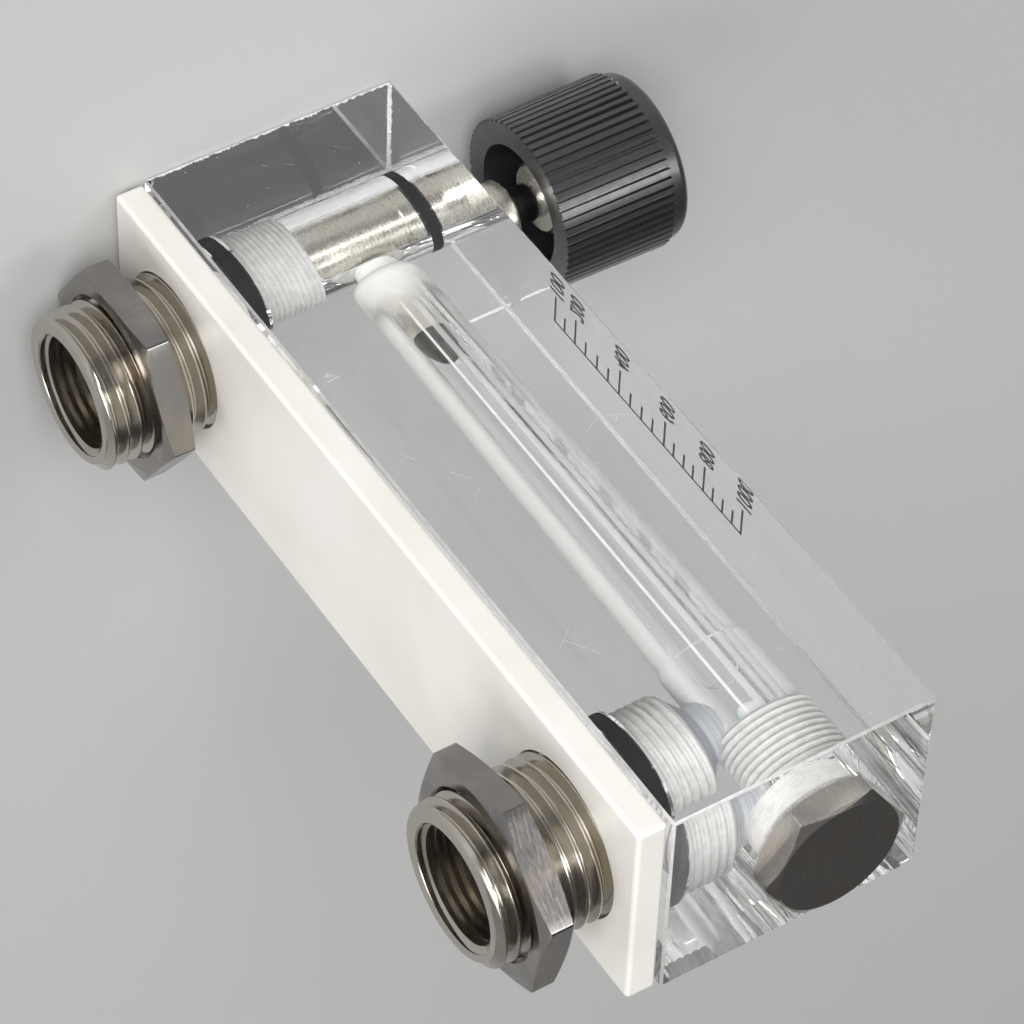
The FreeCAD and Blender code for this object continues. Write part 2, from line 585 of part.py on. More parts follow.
def cut_flutes(body):
    """One flute between two ribs, repeated round the knob."""
    floor = "knob_front_radius - flute_depth"
    outside = "knob_front_radius + flute_depth"
    spread = "(flute_mouth - flute_floor / 2)"
    sketch = draw_outline(sketch_on(body, "XY_Plane", "flute"),
                          [(floor, "-flute_floor / 2"), (outside, f"-{spread}"), (outside, spread),
                           (floor, "flute_floor / 2")])
    flute = pocket(body, sketch, "knob_standoff + knob_rib_length", reversed_side=True)
    ring = body.newObject("PartDesign::PolarPattern", "flutes")
    ring.Originals = [flute]
    ring.Axis = (sketch, ["N_Axis"])
    ring.Angle = 360.0
    ring.Occurrences = int(body.Document.sizes.rib_count)
    body.Tip = ring
    body.Document.recompute()


def make_knob_insert(document):
    """The metal bush moulded into the knob, bored for the stem and cross drilled for its screw."""
    start = INSERT_START
    end = f"{INSERT_START} + insert_length"
    bore = "rod_radius + fixed_fit"
    outline = [(bore, start), ("insert_radius - insert_chamfer", start),
               ("insert_radius", f"{start} + insert_chamfer"), ("insert_radius", f"{end} - insert_chamfer"),
               ("insert_radius - insert_chamfer", end), ("0", end), ("0", "rod_end + fixed_fit"),
               (bore, "rod_end + fixed_fit")]
    body = turned(document, "knob_insert", outline, FRONT_SIDE, ("0", FRONT_FACE, "inlet_height"))
    hole = draw_circle(sketch_on(body, "YZ_Plane", "screw_hole"), "0", "set_screw_place",
                       "set_screw_radius + fixed_fit")
    pocket(body, hole, "2 * insert_radius")
    return body


def make_set_screw(document):
    """The socket set screw that holds the knob on the stem's flat."""
    sideways = FreeCAD.Rotation(FreeCAD.Vector(0, 1, 0), -90)
    place = ("-(rod_radius - flat_depth + fixed_fit)", f"{FRONT_FACE} - set_screw_place", "inlet_height")
    outline = [("0", "0"), ("set_screw_radius - set_screw_point", "0"),
               ("set_screw_radius", "set_screw_point"), ("set_screw_radius", "set_screw_length"),
               ("0", "set_screw_length")]
    body = turned(document, "knob_set_screw", outline, sideways, place)
    face = sketch_on(body, "XY_Plane", "socket")
    face.setExpression("AttachmentOffset.Base.z", formula("set_screw_length"))
    draw_outline(face, hexagon("set_screw_socket"))
    pocket(body, face, "set_screw_socket_depth")
    return body


def make_float(document):
    """The turned float, at rest on the rim of the neck."""
    foot = f"{FLOAT_SEAT} + float_lift - (neck_radius - float_foot_radius)"
    shoulder = f"{foot} + float_body_radius - float_foot_radius"
    top = f"{foot} + float_length"
    head = f"{top} - float_head_length"
    outline = [("0", foot), ("float_foot_radius", foot), ("float_body_radius", shoulder),
               ("float_body_radius", f"{head} - float_flare"), ("float_head_radius", head),
               ("float_head_radius", top), ("float_dimple_radius", top), ("0", f"{top} - float_dimple_depth")]
    return turned(document, "metering_float", outline, UPWARD, ("0", BORE_AXIS, "0"))


def make_plug(document):
    """The hex plug over the metering bore: shank, seal groove, pin socket and chamfered head."""
    shank = "plug_tap_radius - fixed_fit"
    socket = "stop_pin_radius + fixed_fit"
    bottom = "-plug_shank_length"
    outline = [(socket, bottom), (f"{shank} - plug_chamfer", bottom), (shank, f"{bottom} + plug_chamfer"),
               (shank, "-plug_recess_depth"), ("plug_neck_radius", "-plug_recess_depth"),
               ("plug_neck_radius", "0"), ("0", "0"), ("0", f"{bottom} + stop_socket_depth"),
               (socket, f"{bottom} + stop_socket_depth")]
    body = turned(document, "end_plug", outline, UPWARD, ("0", BORE_AXIS, BLOCK_TOP))
    head = draw_outline(sketch_on(body, "XY_Plane", "head"), hexagon("plug_flats", "plug_turn"))
    pad(body, head, "plug_head_height")
    turn_corners(body, "plug_flats", "plug_corner_inset", "plug_face_inset", "plug_corner_slope",
                 "plug_head_height")
    return body


def make_plug_seal(document):
    return rubber_ring(document, "end_plug_seal", "plug_neck_radius", "plug_recess_radius",
                       "-plug_recess_depth / 2", UPWARD, ("0", BORE_AXIS, BLOCK_TOP))


def make_float_stop(document):
    """The round-nosed plastic pin under the plug that stops the float."""
    outline = [("0", "-stop_pin_depth"), ("stop_pin_radius", "-stop_pin_depth"),
               ("stop_pin_radius", "-plug_shank_length + stop_socket_depth - fixed_fit"),
               ("0", "-plug_shank_length + stop_socket_depth - fixed_fit")]
    body = turned(document, "float_stop", outline, UPWARD, ("0", BORE_AXIS, BLOCK_TOP))
    sizes = document.sizes
    tip = round_edge(body.Tip.Shape, sizes.stop_pin_radius, -sizes.stop_pin_depth)
    soften(body, "PartDesign::Fillet", body.Tip, [tip], "stop_pin_round")
    return body


def make_all(document):
    front = ("0", FRONT_FACE, "inlet_height")
    seat_middle = f"{CARTRIDGE_END} + seat_collar_length / 2"
    land_middle = "-(front_groove_near + front_groove_far) / 2"
    return [
        make_block(document),
        make_back_plate(document),
        make_stud(document, "inlet_fitting", "inlet_height"),
        make_stud(document, "outlet_fitting", OUTLET_AXIS),
        make_port_seal(document, "inlet_seal", "inlet_height"),
        make_port_seal(document, "outlet_seal", OUTLET_AXIS),
        make_panel_nut(document, "inlet_panel_nut", "inlet_height", "inlet_nut_standoff", "inlet_nut_turn"),
        make_panel_nut(document, "outlet_panel_nut", OUTLET_AXIS, "outlet_nut_standoff", "outlet_nut_turn"),
        make_cartridge(document),
        rubber_ring(document, "seat_seal", "seat_groove_floor", "port_tap_radius", seat_middle,
                    FRONT_SIDE, front),
        rubber_ring(document, "cartridge_seal", "front_groove_floor", "valve_bore_radius", land_middle,
                    FRONT_SIDE, front),
        make_stop_ring(document),
        make_stem(document),
        make_stem_seal(document),
        make_knob(document),
        make_knob_insert(document),
        make_set_screw(document),
        make_float(document),
        make_plug(document),
        make_plug_seal(document),
        make_float_stop(document),
    ]


def check(document, bodies):
    """Every object computed without an error, and every piece one valid solid."""
    for item in document.Objects:
        if "Invalid" in item.State or "Error" in item.State:
            raise ValueError(f"{item.Name} failed: {item.State}")
    for body in bodies:
        shape = body.Shape
        if shape.isNull() or not shape.isValid() or len(shape.Solids) != 1:
            raise ValueError(f"{body.Label}: not one valid solid")
        print(f"{body.Label}: {shape.Volume:.1f} mm3")


def main():
    document = FreeCAD.newDocument("panel_rotameter")
    fill_sheet(document)
    bodies = make_all(document)
    document.recompute()
    check(document, bodies)
    os.makedirs("parts", exist_ok=True)
    for body in bodies:
        body.Shape.exportStep(os.path.join("parts", body.Label + ".step"))


main()
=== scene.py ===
# %% [markdown]
# # A panel rotameter, dressed for a studio picture
# The object is a flow meter for a control panel. A clear acrylic block holds a tapered bore with
# a small metal float. A needle valve crosses its foot, a hex plug closes its head, and two threaded
# studs at the back go through a white plate into the panel.
# The construction is already made. This lesson adds the finish of every surface, cuts the
# threads, prints the scale and sets up the light.

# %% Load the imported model
import math

import bmesh
import bpy
from mathutils import Matrix, Vector


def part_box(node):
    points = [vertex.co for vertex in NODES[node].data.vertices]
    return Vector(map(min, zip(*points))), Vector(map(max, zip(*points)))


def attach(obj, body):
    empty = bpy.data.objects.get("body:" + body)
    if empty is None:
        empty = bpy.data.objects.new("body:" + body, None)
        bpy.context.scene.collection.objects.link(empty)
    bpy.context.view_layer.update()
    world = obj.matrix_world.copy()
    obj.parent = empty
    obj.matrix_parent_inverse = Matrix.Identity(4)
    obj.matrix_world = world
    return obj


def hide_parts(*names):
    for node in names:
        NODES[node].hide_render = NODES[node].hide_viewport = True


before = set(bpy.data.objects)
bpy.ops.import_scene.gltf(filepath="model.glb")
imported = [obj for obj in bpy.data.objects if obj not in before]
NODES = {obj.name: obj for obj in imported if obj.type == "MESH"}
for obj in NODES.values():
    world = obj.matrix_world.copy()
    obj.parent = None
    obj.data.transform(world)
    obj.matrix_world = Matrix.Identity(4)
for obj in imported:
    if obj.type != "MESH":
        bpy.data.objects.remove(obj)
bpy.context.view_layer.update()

print("pieces in the frame:", len(NODES))

# %% [markdown]
# The frame is in metres, but a maker thinks of this object in millimetres. One named factor turns
# one into the other. The places that later pieces need are read from the boxes of the packed
# pieces, so the pieces here always land on the ones they belong to.

# %% Measure the places that everything is set from
MM = 0.001


def middle(node):
    """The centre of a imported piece's box, in millimetres."""
    low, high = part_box(node)
    return (low + high) / 2 / MM


block_low, block_high = [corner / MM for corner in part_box("flow_block")]
FRONT = block_low.y
BACK = block_high.y
TOP = block_high.z
INLET_AXIS = middle("inlet_fitting").z
OUTLET_AXIS = middle("outlet_fitting").z
BORE_AXIS = middle("metering_float").y
STUD_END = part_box("inlet_fitting")[1].y / MM
STUD_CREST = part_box("inlet_fitting")[1].x / MM
print(f"block {block_high.x - block_low.x:.1f} x {BACK - FRONT:.1f} x {TOP:.1f} mm")
print(f"ports at {INLET_AXIS:.1f} and {OUTLET_AXIS:.1f} mm, metering bore at y {BORE_AXIS:.1f} mm")

# %% [markdown]
# The picture is taken from behind and above with a long lens, and the camera is rolled so that the
# meter lies across the frame. A camera in Blender looks along its own -Z with +Y up in the picture.
# Aiming it with a Track To constraint would lose the roll, so its three axes are given outright.
# Everything that is made here has to be put in the scene, so one helper does that from now on.

# %% Set the camera
CAMERA_PLACE = Vector((433.9, 221.6, 386.6)) * MM
CAMERA_BACKWARD = Vector((0.7399, 0.3766, 0.5574))
CAMERA_UP = Vector((0.6721, -0.3792, -0.6360))
SENSOR = 36.0
LENS = 169.5
NEAREST_SEEN = 0.01


def add_object(name, data):
    """A new object in the scene, round the given mesh, lamp, curve or camera."""
    new = bpy.data.objects.new(name, data)
    bpy.context.scene.collection.objects.link(new)
    return new


backward = CAMERA_BACKWARD.normalized()
right = CAMERA_UP.cross(backward).normalized()
up = backward.cross(right)
camera = add_object("camera", bpy.data.cameras.new("camera"))
camera.matrix_world = Matrix.Translation(CAMERA_PLACE) @ Matrix((right, up, backward)).transposed().to_4x4()
camera.data.sensor_width = SENSOR
camera.data.lens = LENS
camera.data.clip_start = NEAREST_SEEN
bpy.context.scene.camera = camera
print(f"camera {CAMERA_PLACE.length:.2f} m from the foot of the meter")

# %% [markdown]
# Finishes are node trees. A few small helpers keep the cells that follow short: one adds a node and
# sets its sockets, one starts a material with its Principled shader, and the others place, mix and
# spread the grey patterns that a finish is made of. A number that is the same all over a surface
# is set on the shader itself.

# %% Helpers for finishes


def add_node(material, kind, settings=(), **sockets):
    """A new node of a material, with plain settings and values or links for its input sockets."""
    tree = material.node_tree
    new = tree.nodes.new("ShaderNode" + kind)
    for name, value in dict(settings).items():
        setattr(new, name, value)
    for name, value in sockets.items():
        socket = new.inputs[int(name[1:])] if name[0] == "i" and name[1:].isdigit() \
            else new.inputs[name.replace("_", " ")]
        if isinstance(value, bpy.types.NodeSocket):
            tree.links.new(value, socket)
        else:
            socket.default_value = value
    return new


def new_finish(name, colour, roughness, **sockets):
    """A material with one Principled shader, which is returned beside it."""
    material = bpy.data.materials.new(name)
    material.use_nodes = True
    shader = material.node_tree.nodes["Principled BSDF"]
    shader.inputs["Base Color"].default_value = (*colour, 1)
    shader.inputs["Roughness"].default_value = roughness
    for socket, value in sockets.items():
        shader.inputs[socket.replace("_", " ")].default_value = value
    return material, shader


def place_in_mm(material, stretch=(1, 1, 1), turn=(0, 0, 0)):
    """The point on the piece in millimetres, stretched and turned for a pattern."""
    place = add_node(material, "TexCoord").outputs["Object"]
    mapping = add_node(material, "Mapping", Vector=place, Rotation=turn,
                       Scale=[factor / MM for factor in stretch])
    return mapping.outputs["Vector"]


def cloud(material, vector, scale, detail=3.0, roughness=0.55):
    """A soft grey noise between 0 and 1."""
    noise = add_node(material, "TexNoise", Vector=vector, Scale=scale, Detail=detail, Roughness=roughness)
    return noise.outputs["Fac"]


def span(material, value, low, high, to_low=0.0, to_high=1.0, smooth=True):
    """The value spread from the range low..high to the range to_low..to_high."""
    kind = "SMOOTHSTEP" if smooth else "LINEAR"
    spread = add_node(material, "MapRange", {"interpolation_type": kind}, Value=value, i1=low, i2=high,
                      i3=to_low, i4=to_high)
    return spread.outputs["Result"]


def maths(material, operation, first, second=0.0):
    """The result of one sum on two values."""
    return add_node(material, "Math", {"operation": operation}, i0=first, i1=second).outputs["Value"]


def tint(material, factor, first, second):
    """A colour between two, by a grey value."""
    mix = add_node(material, "Mix", {"data_type": "RGBA"}, i0=factor, i6=(*first, 1), i7=(*second, 1))
    return mix.outputs[2]


def feed(material, shader, socket, value):
    """Links a value to a socket of the shader."""
    material.node_tree.links.new(value, shader.inputs[socket])


def raise_surface(material, shader, height, depth_mm):
    """Fine relief: the height is a grey value, the depth is in millimetres."""
    bump = add_node(material, "Bump", Height=height, Distance=depth_mm * MM, Strength=1.0)
    feed(material, shader, "Normal", bump.outputs["Normal"])


print("helpers ready")

# %% [markdown]
# The floor is pale and plain. It is a wide dish, so that its rim rises behind the meter from
# any side and no hard horizon shows. A plane and a coloured world would also do, but polished
# metal mirrors all that is round it, and a real wall gives it soft gradients to mirror.

# %% Lay the floor
FLOOR_RADIUS = 1.1
RIM_RADIUS = 0.7
FLOOR_SIDES = 96
RIM_STEPS = 12
FLOOR_DROP = 0.05 * MM
FLOOR_COLOUR = (0.53, 0.53, 0.525)
FLOOR_ROUGHNESS = 0.75
FLOOR_GRAIN = 0.02


def make_floor():
    """A flat disc whose rim curves up, spun from its outline."""
    shape = bmesh.new()
    outline = [(0.0, 0.0), (FLOOR_RADIUS, 0.0)]
    for step in range(1, RIM_STEPS + 1):
        turn = math.pi / 2 * step / RIM_STEPS
        outline.append((FLOOR_RADIUS + RIM_RADIUS * math.sin(turn), RIM_RADIUS * (1 - math.cos(turn))))
    points = [shape.verts.new((radius, 0, height - FLOOR_DROP)) for radius, height in outline]
    edges = [shape.edges.new(pair) for pair in zip(points, points[1:])]
    bmesh.ops.spin(shape, geom=points + edges, cent=(0, 0, 0), axis=(0, 0, 1), angle=2 * math.pi,
                   steps=FLOOR_SIDES, use_merge=True)
    bmesh.ops.remove_doubles(shape, verts=shape.verts, dist=0.01 * MM)
    bmesh.ops.recalc_face_normals(shape, faces=shape.faces)
    mesh = bpy.data.meshes.new("floor")
    shape.to_mesh(mesh)
    shape.free()
    mesh.shade_smooth()
    floor = add_object("floor", mesh)
    material, shader = new_finish("floor_paper", FLOOR_COLOUR, FLOOR_ROUGHNESS)
    grain = cloud(material, place_in_mm(material), 1.5)
    raise_surface(material, shader, grain, FLOOR_GRAIN)
    mesh.materials.append(material)


make_floor()
print(f"floor dish {2 * (FLOOR_RADIUS + RIM_RADIUS):.1f} m across")

# %% [markdown]
# One big soft lamp stands on the +X side, where the photograph has its light: it makes that side
# of the white plate the brightest part. It stands a little to the back, where none of the hexagon
# flats mirrors it straight into the camera. A weaker one fills from the back. A third, small one
# stands where the round pieces that lie across the block mirror it: the knob's ribs, the threads
# and the valve get their bright lines from it.
# A lamp's power goes with its distance squared, so each is stated by how brightly it lights a
# white card that faces it, and the power is worked out.

# %% Hang the lamps
KEY_LAMP = {"place": (1.02, 0.52, 0.92), "size": 0.80, "level": 0.86}
FILL_LAMP = {"place": (0.10, 1.25, 0.75), "size": 0.80, "level": 0.36}
SHEEN_LAMP = {"place": (0.41, -0.51, 1.24), "size": 0.45, "level": 0.20}
LAMP_AIM = Vector((0, 0, 60)) * MM


def hang_lamp(name, place, size, level):
    """A square lamp that faces the meter."""
    reach = LAMP_AIM - Vector(place)
    lamp = bpy.data.lights.new(name, "AREA")
    lamp.shape = "SQUARE"
    lamp.size = size
    lamp.energy = level * (math.pi * reach.length) ** 2
    holder = add_object(name, lamp)
    holder.location = place
    holder.rotation_euler = reach.to_track_quat("-Z", "Y").to_euler()
    print(f"{name}: {lamp.energy:.1f} W, {size:.2f} m wide")


hang_lamp("key_lamp", **KEY_LAMP)
hang_lamp("fill_lamp", **FILL_LAMP)
hang_lamp("sheen_lamp", **SHEEN_LAMP)

# %% [markdown]
# Polished nickel shows the room more than itself. The world is a soft grey that darkens away from
# the lamps, like the unlit side of a studio, which gives the metal its dark sides.
# Light that goes into the acrylic is thrown back by its walls many times before it comes out, so
# mirrored and see-through light may bounce as often as all other light.

# %% Shade the world
WORLD_DARK = 0.10
WORLD_LIGHT = 0.34
DARK_SIDE = Vector((-0.62, -0.55, 0.12))
LIGHT_UNTIL = -0.5
DARK_FROM = 0.8
BOUNCES = 12


def shade_world():
    """A grey sky, dark on one side, by how far a direction leans to that side."""
    world = bpy.data.worlds.new("studio")
    bpy.context.scene.world = world
    world.use_nodes = True
    nodes = world.node_tree.nodes
    links = world.node_tree.links
    direction = nodes.new("ShaderNodeTexCoord")
    towards = nodes.new("ShaderNodeVectorMath")
    towards.operation = "DOT_PRODUCT"
    towards.inputs[1].default_value = DARK_SIDE.normalized()
    links.new(direction.outputs["Generated"], towards.inputs[0])
    level = nodes.new("ShaderNodeMapRange")
    level.interpolation_type = "SMOOTHSTEP"
    level.inputs["From Min"].default_value = LIGHT_UNTIL
    level.inputs["From Max"].default_value = DARK_FROM
    level.inputs["To Min"].default_value = WORLD_LIGHT
    level.inputs["To Max"].default_value = WORLD_DARK
    links.new(towards.outputs["Value"], level.inputs["Value"])
    links.new(level.outputs["Result"], nodes["Background"].inputs["Strength"])
    nodes["Background"].inputs["Color"].default_value = (1, 1, 1, 1)


shade_world()
bpy.context.scene.view_settings.view_transform = "Standard"
cycles = bpy.context.scene.cycles
cycles.max_bounces = BOUNCES
cycles.glossy_bounces = BOUNCES
cycles.transmission_bounces = BOUNCES
cycles.transparent_max_bounces = BOUNCES
print("world from", WORLD_DARK, "to", WORLD_LIGHT)

# %% [markdown]
# Cast acrylic bends light with an index of 1.49, and that is all it takes to look right: the
# bores inside are real hollows. Lamps can't shine through a glass shader without noise, so rays
# from the lamps see a see-through surface instead.
# The handled faces carry dust and hairline scratches, which read as small white marks, and the
# saw has left a ragged white line round the foot of the block. The top end is hazy from handling.
# All of these are one grey pattern that mixes dull white into the glass shader.

# %% Clear acrylic
ACRYLIC_INDEX = 1.49
ACRYLIC_COLOUR = (0.985, 0.992, 0.992)
BIG_SPECKS = {"spacing": 2.4, "radius": 0.11, "share": 0.30}
SMALL_SPECKS = {"spacing": 1.1, "radius": 0.06, "share": 0.16}
SCRATCHES = [{"across": (0.3, 0.8, 0.52), "spacing": 9.0, "width": 0.035, "share": 0.37},
             {"across": (0.6, -0.5, 0.62), "spacing": 14.0, "width": 0.03, "share": 0.40}]
SCRATCH_BEND = 9.0
MARKS_SHARE = 0.4
SAWN_HEIGHT = 0.55
SAWN_WANDER = 0.25
SAWN_BLUR = 0.08
SAWN_SHARE = 0.85
END_SKIN = 0.03
TOP_HAZE = 0.15
DUST_COLOUR = (0.9, 0.9, 0.9)


def let_lamps_through(material, surface, colour):
    """Puts a see-through surface in place of the given one for rays from lamps."""
    tree = material.node_tree
    path = add_node(material, "LightPath")
    film = add_node(material, "BsdfTransparent", Color=(*colour, 1))
    mix = add_node(material, "MixShader", i0=path.outputs["Is Shadow Ray"], i1=surface, i2=film.outputs[0])
    tree.links.new(mix.outputs[0], tree.nodes["Material Output"].inputs["Surface"])


def specks(material, spacing, radius, share):
    """Dust: round specks of the given radius, one in each cell of the given spacing, thinned out."""
    cells = add_node(material, "TexVoronoi", Vector=place_in_mm(material), Scale=1 / spacing)
    reach = radius / spacing
    dots = span(material, cells.outputs["Distance"], reach, reach * 0.7)
    chance = add_node(material, "SeparateColor", Color=cells.outputs["Color"]).outputs["Red"]
    kept = maths(material, "LESS_THAN", chance, share)
    return maths(material, "MULTIPLY", dots, kept)


def hairlines(material, across, spacing, width, share):
    """Fine scratches, nearly straight, in broken lines that lie across the given direction."""
    place = place_in_mm(material)
    dot = {"operation": "DOT_PRODUCT"}
    along = add_node(material, "VectorMath", dot, i0=place, i1=across).outputs["Value"]
    bend = maths(material, "MULTIPLY", cloud(material, place, 0.03, 1), SCRATCH_BEND)
    turns = maths(material, "FRACT", maths(material, "DIVIDE", maths(material, "ADD", along, bend), spacing))
    from_middle = maths(material, "ABSOLUTE", maths(material, "SUBTRACT", turns, 0.5))
    off_line = maths(material, "MULTIPLY", from_middle, spacing)
    line = span(material, off_line, width, width * 0.4)
    kept = span(material, cloud(material, place, 0.11, 3), 1 - share, 1.04 - share)
    return maths(material, "MULTIPLY", line, kept)


def make_clear_acrylic():
    """Polished acrylic under its dust, scratches, sawn line and haze."""
    material, shader = new_finish("clear_acrylic", ACRYLIC_COLOUR, 0.0, IOR=ACRYLIC_INDEX,
                                  Transmission_Weight=1.0)
    marks = maths(material, "MAXIMUM", specks(material, **BIG_SPECKS), specks(material, **SMALL_SPECKS))
    for scratch in SCRATCHES:
        marks = maths(material, "MAXIMUM", marks, hairlines(material, **scratch))
    marks = maths(material, "MULTIPLY", marks, MARKS_SHARE)
    height = add_node(material, "SeparateXYZ", Vector=place_in_mm(material)).outputs["Z"]
    ragged = span(material, cloud(material, place_in_mm(material), 1.3, 4, 0.7), 0.3, 0.7,
                  -SAWN_WANDER, SAWN_WANDER)
    sawn = span(material, maths(material, "ADD", height, ragged), SAWN_HEIGHT + SAWN_BLUR,
                SAWN_HEIGHT - SAWN_BLUR)
    above_foot = maths(material, "GREATER_THAN", height, END_SKIN)
    sawn = maths(material, "MULTIPLY", sawn, maths(material, "MULTIPLY", above_foot, SAWN_SHARE))
    marks = maths(material, "MAXIMUM", marks, sawn)
    wiped = cloud(material, place_in_mm(material, (0.08, 0.3, 0.3)), 1.0, 2)
    haze = span(material, wiped, 0.3, 0.7, TOP_HAZE * 0.7, TOP_HAZE * 1.3)
    on_top = maths(material, "GREATER_THAN", height, TOP - END_SKIN)
    marks = maths(material, "MAXIMUM", marks, maths(material, "MULTIPLY", haze, on_top))
    dust = add_node(material, "BsdfDiffuse", Color=(*DUST_COLOUR, 1))
    dusty = add_node(material, "MixShader", i0=marks, i1=shader.outputs[0], i2=dust.outputs[0])
    let_lamps_through(material, dusty.outputs[0], ACRYLIC_COLOUR)
    return material


CLEAR_ACRYLIC = make_clear_acrylic()
print("clear acrylic, index", ACRYLIC_INDEX)

# %% [markdown]
# A drill or a tap leaves acrylic white: the cut wall scatters light. Where the metering bore
# starts, its rounded floor is white and fades into the polished wall, so the finish is mixed by
# height there. Higher up, white bands painted along the bore are painted reflections: soft wide
# bands and one thin bright line, mixed in by the angle round its axis. Each band in the list
# below is its middle angle, half its width, both in degrees, and how strong it is. A thread's wall
# is white, with its grooves more see-through than its crests: a painted shade in the grooves.

# %% Frosted acrylic
FROST_COLOUR = (0.89, 0.885, 0.875)
FROST_SHEEN = 0.07
FROST_ROUGHNESS = 0.28
DRILLED_COLOUR = (0.66, 0.68, 0.74)
SAWN_SHADE = (0.6, 0.62, 0.64)
SAWN_BRIGHT = (0.93, 0.94, 0.95)
RIDGE = "ridge"
FOOT_WHITE_END = 34.0
FOOT_WHITE_START = 24.6
BAND_START = 26.0
BAND_FULL = 33.0
BAND_EDGE = 0.55
# Painted reflections on the bore wall: the wide bands, and a thin bright line at 19.5 degrees.
PAINTED_REFLECTION_BANDS = [(82, 42, 0.97), (19.5, 2.6, 0.90), (1, 6, 0.50), (-13, 5, 0.40), (-27, 6, 0.35),
               (-52, 24, 0.70)]
# A painted reflection near the chamber's foot on the plate side, where the painted bands run on.
CORNER_REFLECTION = (88, 55, 0.92)
CORNER_START = 88.0
CORNER_FULL = 97.0


def frost(material, through_share=0.45, colour=FROST_COLOUR):
    """White that takes light from both of its sides, with a soft sheen."""
    face = add_node(material, "BsdfDiffuse", Color=(*colour, 1))
    through = add_node(material, "BsdfTranslucent", Color=(*colour, 1))
    shine = add_node(material, "BsdfGlossy", Roughness=FROST_ROUGHNESS)
    body = add_node(material, "MixShader", i0=through_share, i1=face.outputs[0], i2=through.outputs[0])
    mix = add_node(material, "MixShader", i0=FROST_SHEEN, i1=body.outputs[0], i2=shine.outputs[0])
    return mix.outputs[0]


def show(material, surface):
    """Makes the given surface the material's own."""
    tree = material.node_tree
    tree.links.new(surface, tree.nodes["Material Output"].inputs["Surface"])


def make_frosted_acrylic():
    """A tapped wall: its crests are white, and its grooves are made more see-through, a painted shade in
    them.
    """
    material, shader = new_finish("frosted_acrylic", FROST_COLOUR, 0.5)
    material.node_tree.nodes.remove(shader)
    see_through = add_node(material, "BsdfTransparent", Color=(*FROST_COLOUR, 1)).outputs[0]
    crest = add_node(material, "Attribute", {"attribute_name": RIDGE}).outputs["Fac"]
    haze = span(material, cloud(material, place_in_mm(material), 0.6), 0.3, 0.7, -0.08, 0.08)
    # Painted shade: the grooves let more through than the crests, so they read darker.
    haze = maths(material, "ADD", haze, span(material, crest, 0.1, 0.9, 0.30, 0.15))
    mix = add_node(material, "MixShader", i0=haze, i1=frost(material), i2=see_through)
    show(material, mix.outputs[0])
    return material


def make_drilled_acrylic():
    """The drilled way to the outlet: bluish grey, with the drill's rings."""
    material, shader = new_finish("drilled_acrylic", DRILLED_COLOUR, 0.5)
    material.node_tree.nodes.remove(shader)
    rings = cloud(material, place_in_mm(material, (0.04, 3.2, 0.04)), 1.0, 2)
    see_through = add_node(material, "BsdfTransparent", Color=(*FROST_COLOUR, 1)).outputs[0]
    mix = add_node(material, "MixShader", i0=span(material, rings, 0.35, 0.65, 0.10, 0.42),
                   i1=frost(material, 0.4, DRILLED_COLOUR), i2=see_through)
    show(material, mix.outputs[0])
    return material


def bore_band(material, place, start, full, middle_degrees, half_width, level):
    """A painted reflection up the bore's wall: a soft band at an angle from +X towards +Y, fading in upwards.
    """
    parts = add_node(material, "SeparateXYZ", Vector=place)
    back = maths(material, "SUBTRACT", parts.outputs["Y"], BORE_AXIS)
    angle = maths(material, "ARCTAN2", back, parts.outputs["X"])
    off_middle = maths(material, "ABSOLUTE", maths(material, "SUBTRACT", angle, math.radians(middle_degrees)))
    edge = math.radians(half_width)
    band = span(material, off_middle, edge, edge * BAND_EDGE, 0, level)
    risen = span(material, parts.outputs["Z"], start, full)
    return maths(material, "MULTIPLY", band, risen)


def make_bored_acrylic():
    """Polished bore wall with a white foot, faint streaks, and bands of painted reflection."""
    material, shader = new_finish("bored_acrylic", ACRYLIC_COLOUR, 0.0, IOR=ACRYLIC_INDEX,
                                  Transmission_Weight=1.0)
    place = place_in_mm(material)
    height = add_node(material, "SeparateXYZ", Vector=place).outputs["Z"]
    uneven = span(material, cloud(material, place, 0.5), 0, 1, -1.6, 1.6, smooth=False)
    frost_and_painted_reflection = span(material, maths(material, "ADD", height, uneven), FOOT_WHITE_END, FOOT_WHITE_START)
    streaks = cloud(material, place_in_mm(material, (1.1, 1.1, 0.012)), 1.0, 2)
    frost_and_painted_reflection = maths(material, "MAXIMUM", frost_and_painted_reflection, span(material, streaks, 0.4, 0.7, 0.0, 0.08))
    # The bands mixed in here are painted reflections; the white foot and the streaks are frost.
    for band in PAINTED_REFLECTION_BANDS:
        frost_and_painted_reflection = maths(material, "MAXIMUM", frost_and_painted_reflection, bore_band(material, place, BAND_START, BAND_FULL, *band))
    frost_and_painted_reflection = maths(material, "MAXIMUM", frost_and_painted_reflection,
                  bore_band(material, place, CORNER_START, CORNER_FULL, *CORNER_REFLECTION))
    mix = add_node(material, "MixShader", i0=frost_and_painted_reflection, i1=shader.outputs[0], i2=frost(material, 0.15))
    let_lamps_through(material, mix.outputs[0], ACRYLIC_COLOUR)
    return material


def make_sawn_acrylic():
    """The rough white line that a saw leaves along an edge."""
    material, shader = new_finish("sawn_acrylic", FROST_COLOUR, 0.6)
    place = place_in_mm(material)
    chips = cloud(material, place, 1.6, 4, 0.7)
    raise_surface(material, shader, chips, 0.15)
    white = tint(material, span(material, chips, 0.3, 0.6), SAWN_SHADE, SAWN_BRIGHT)
    feed(material, shader, "Base Color", white)
    return material


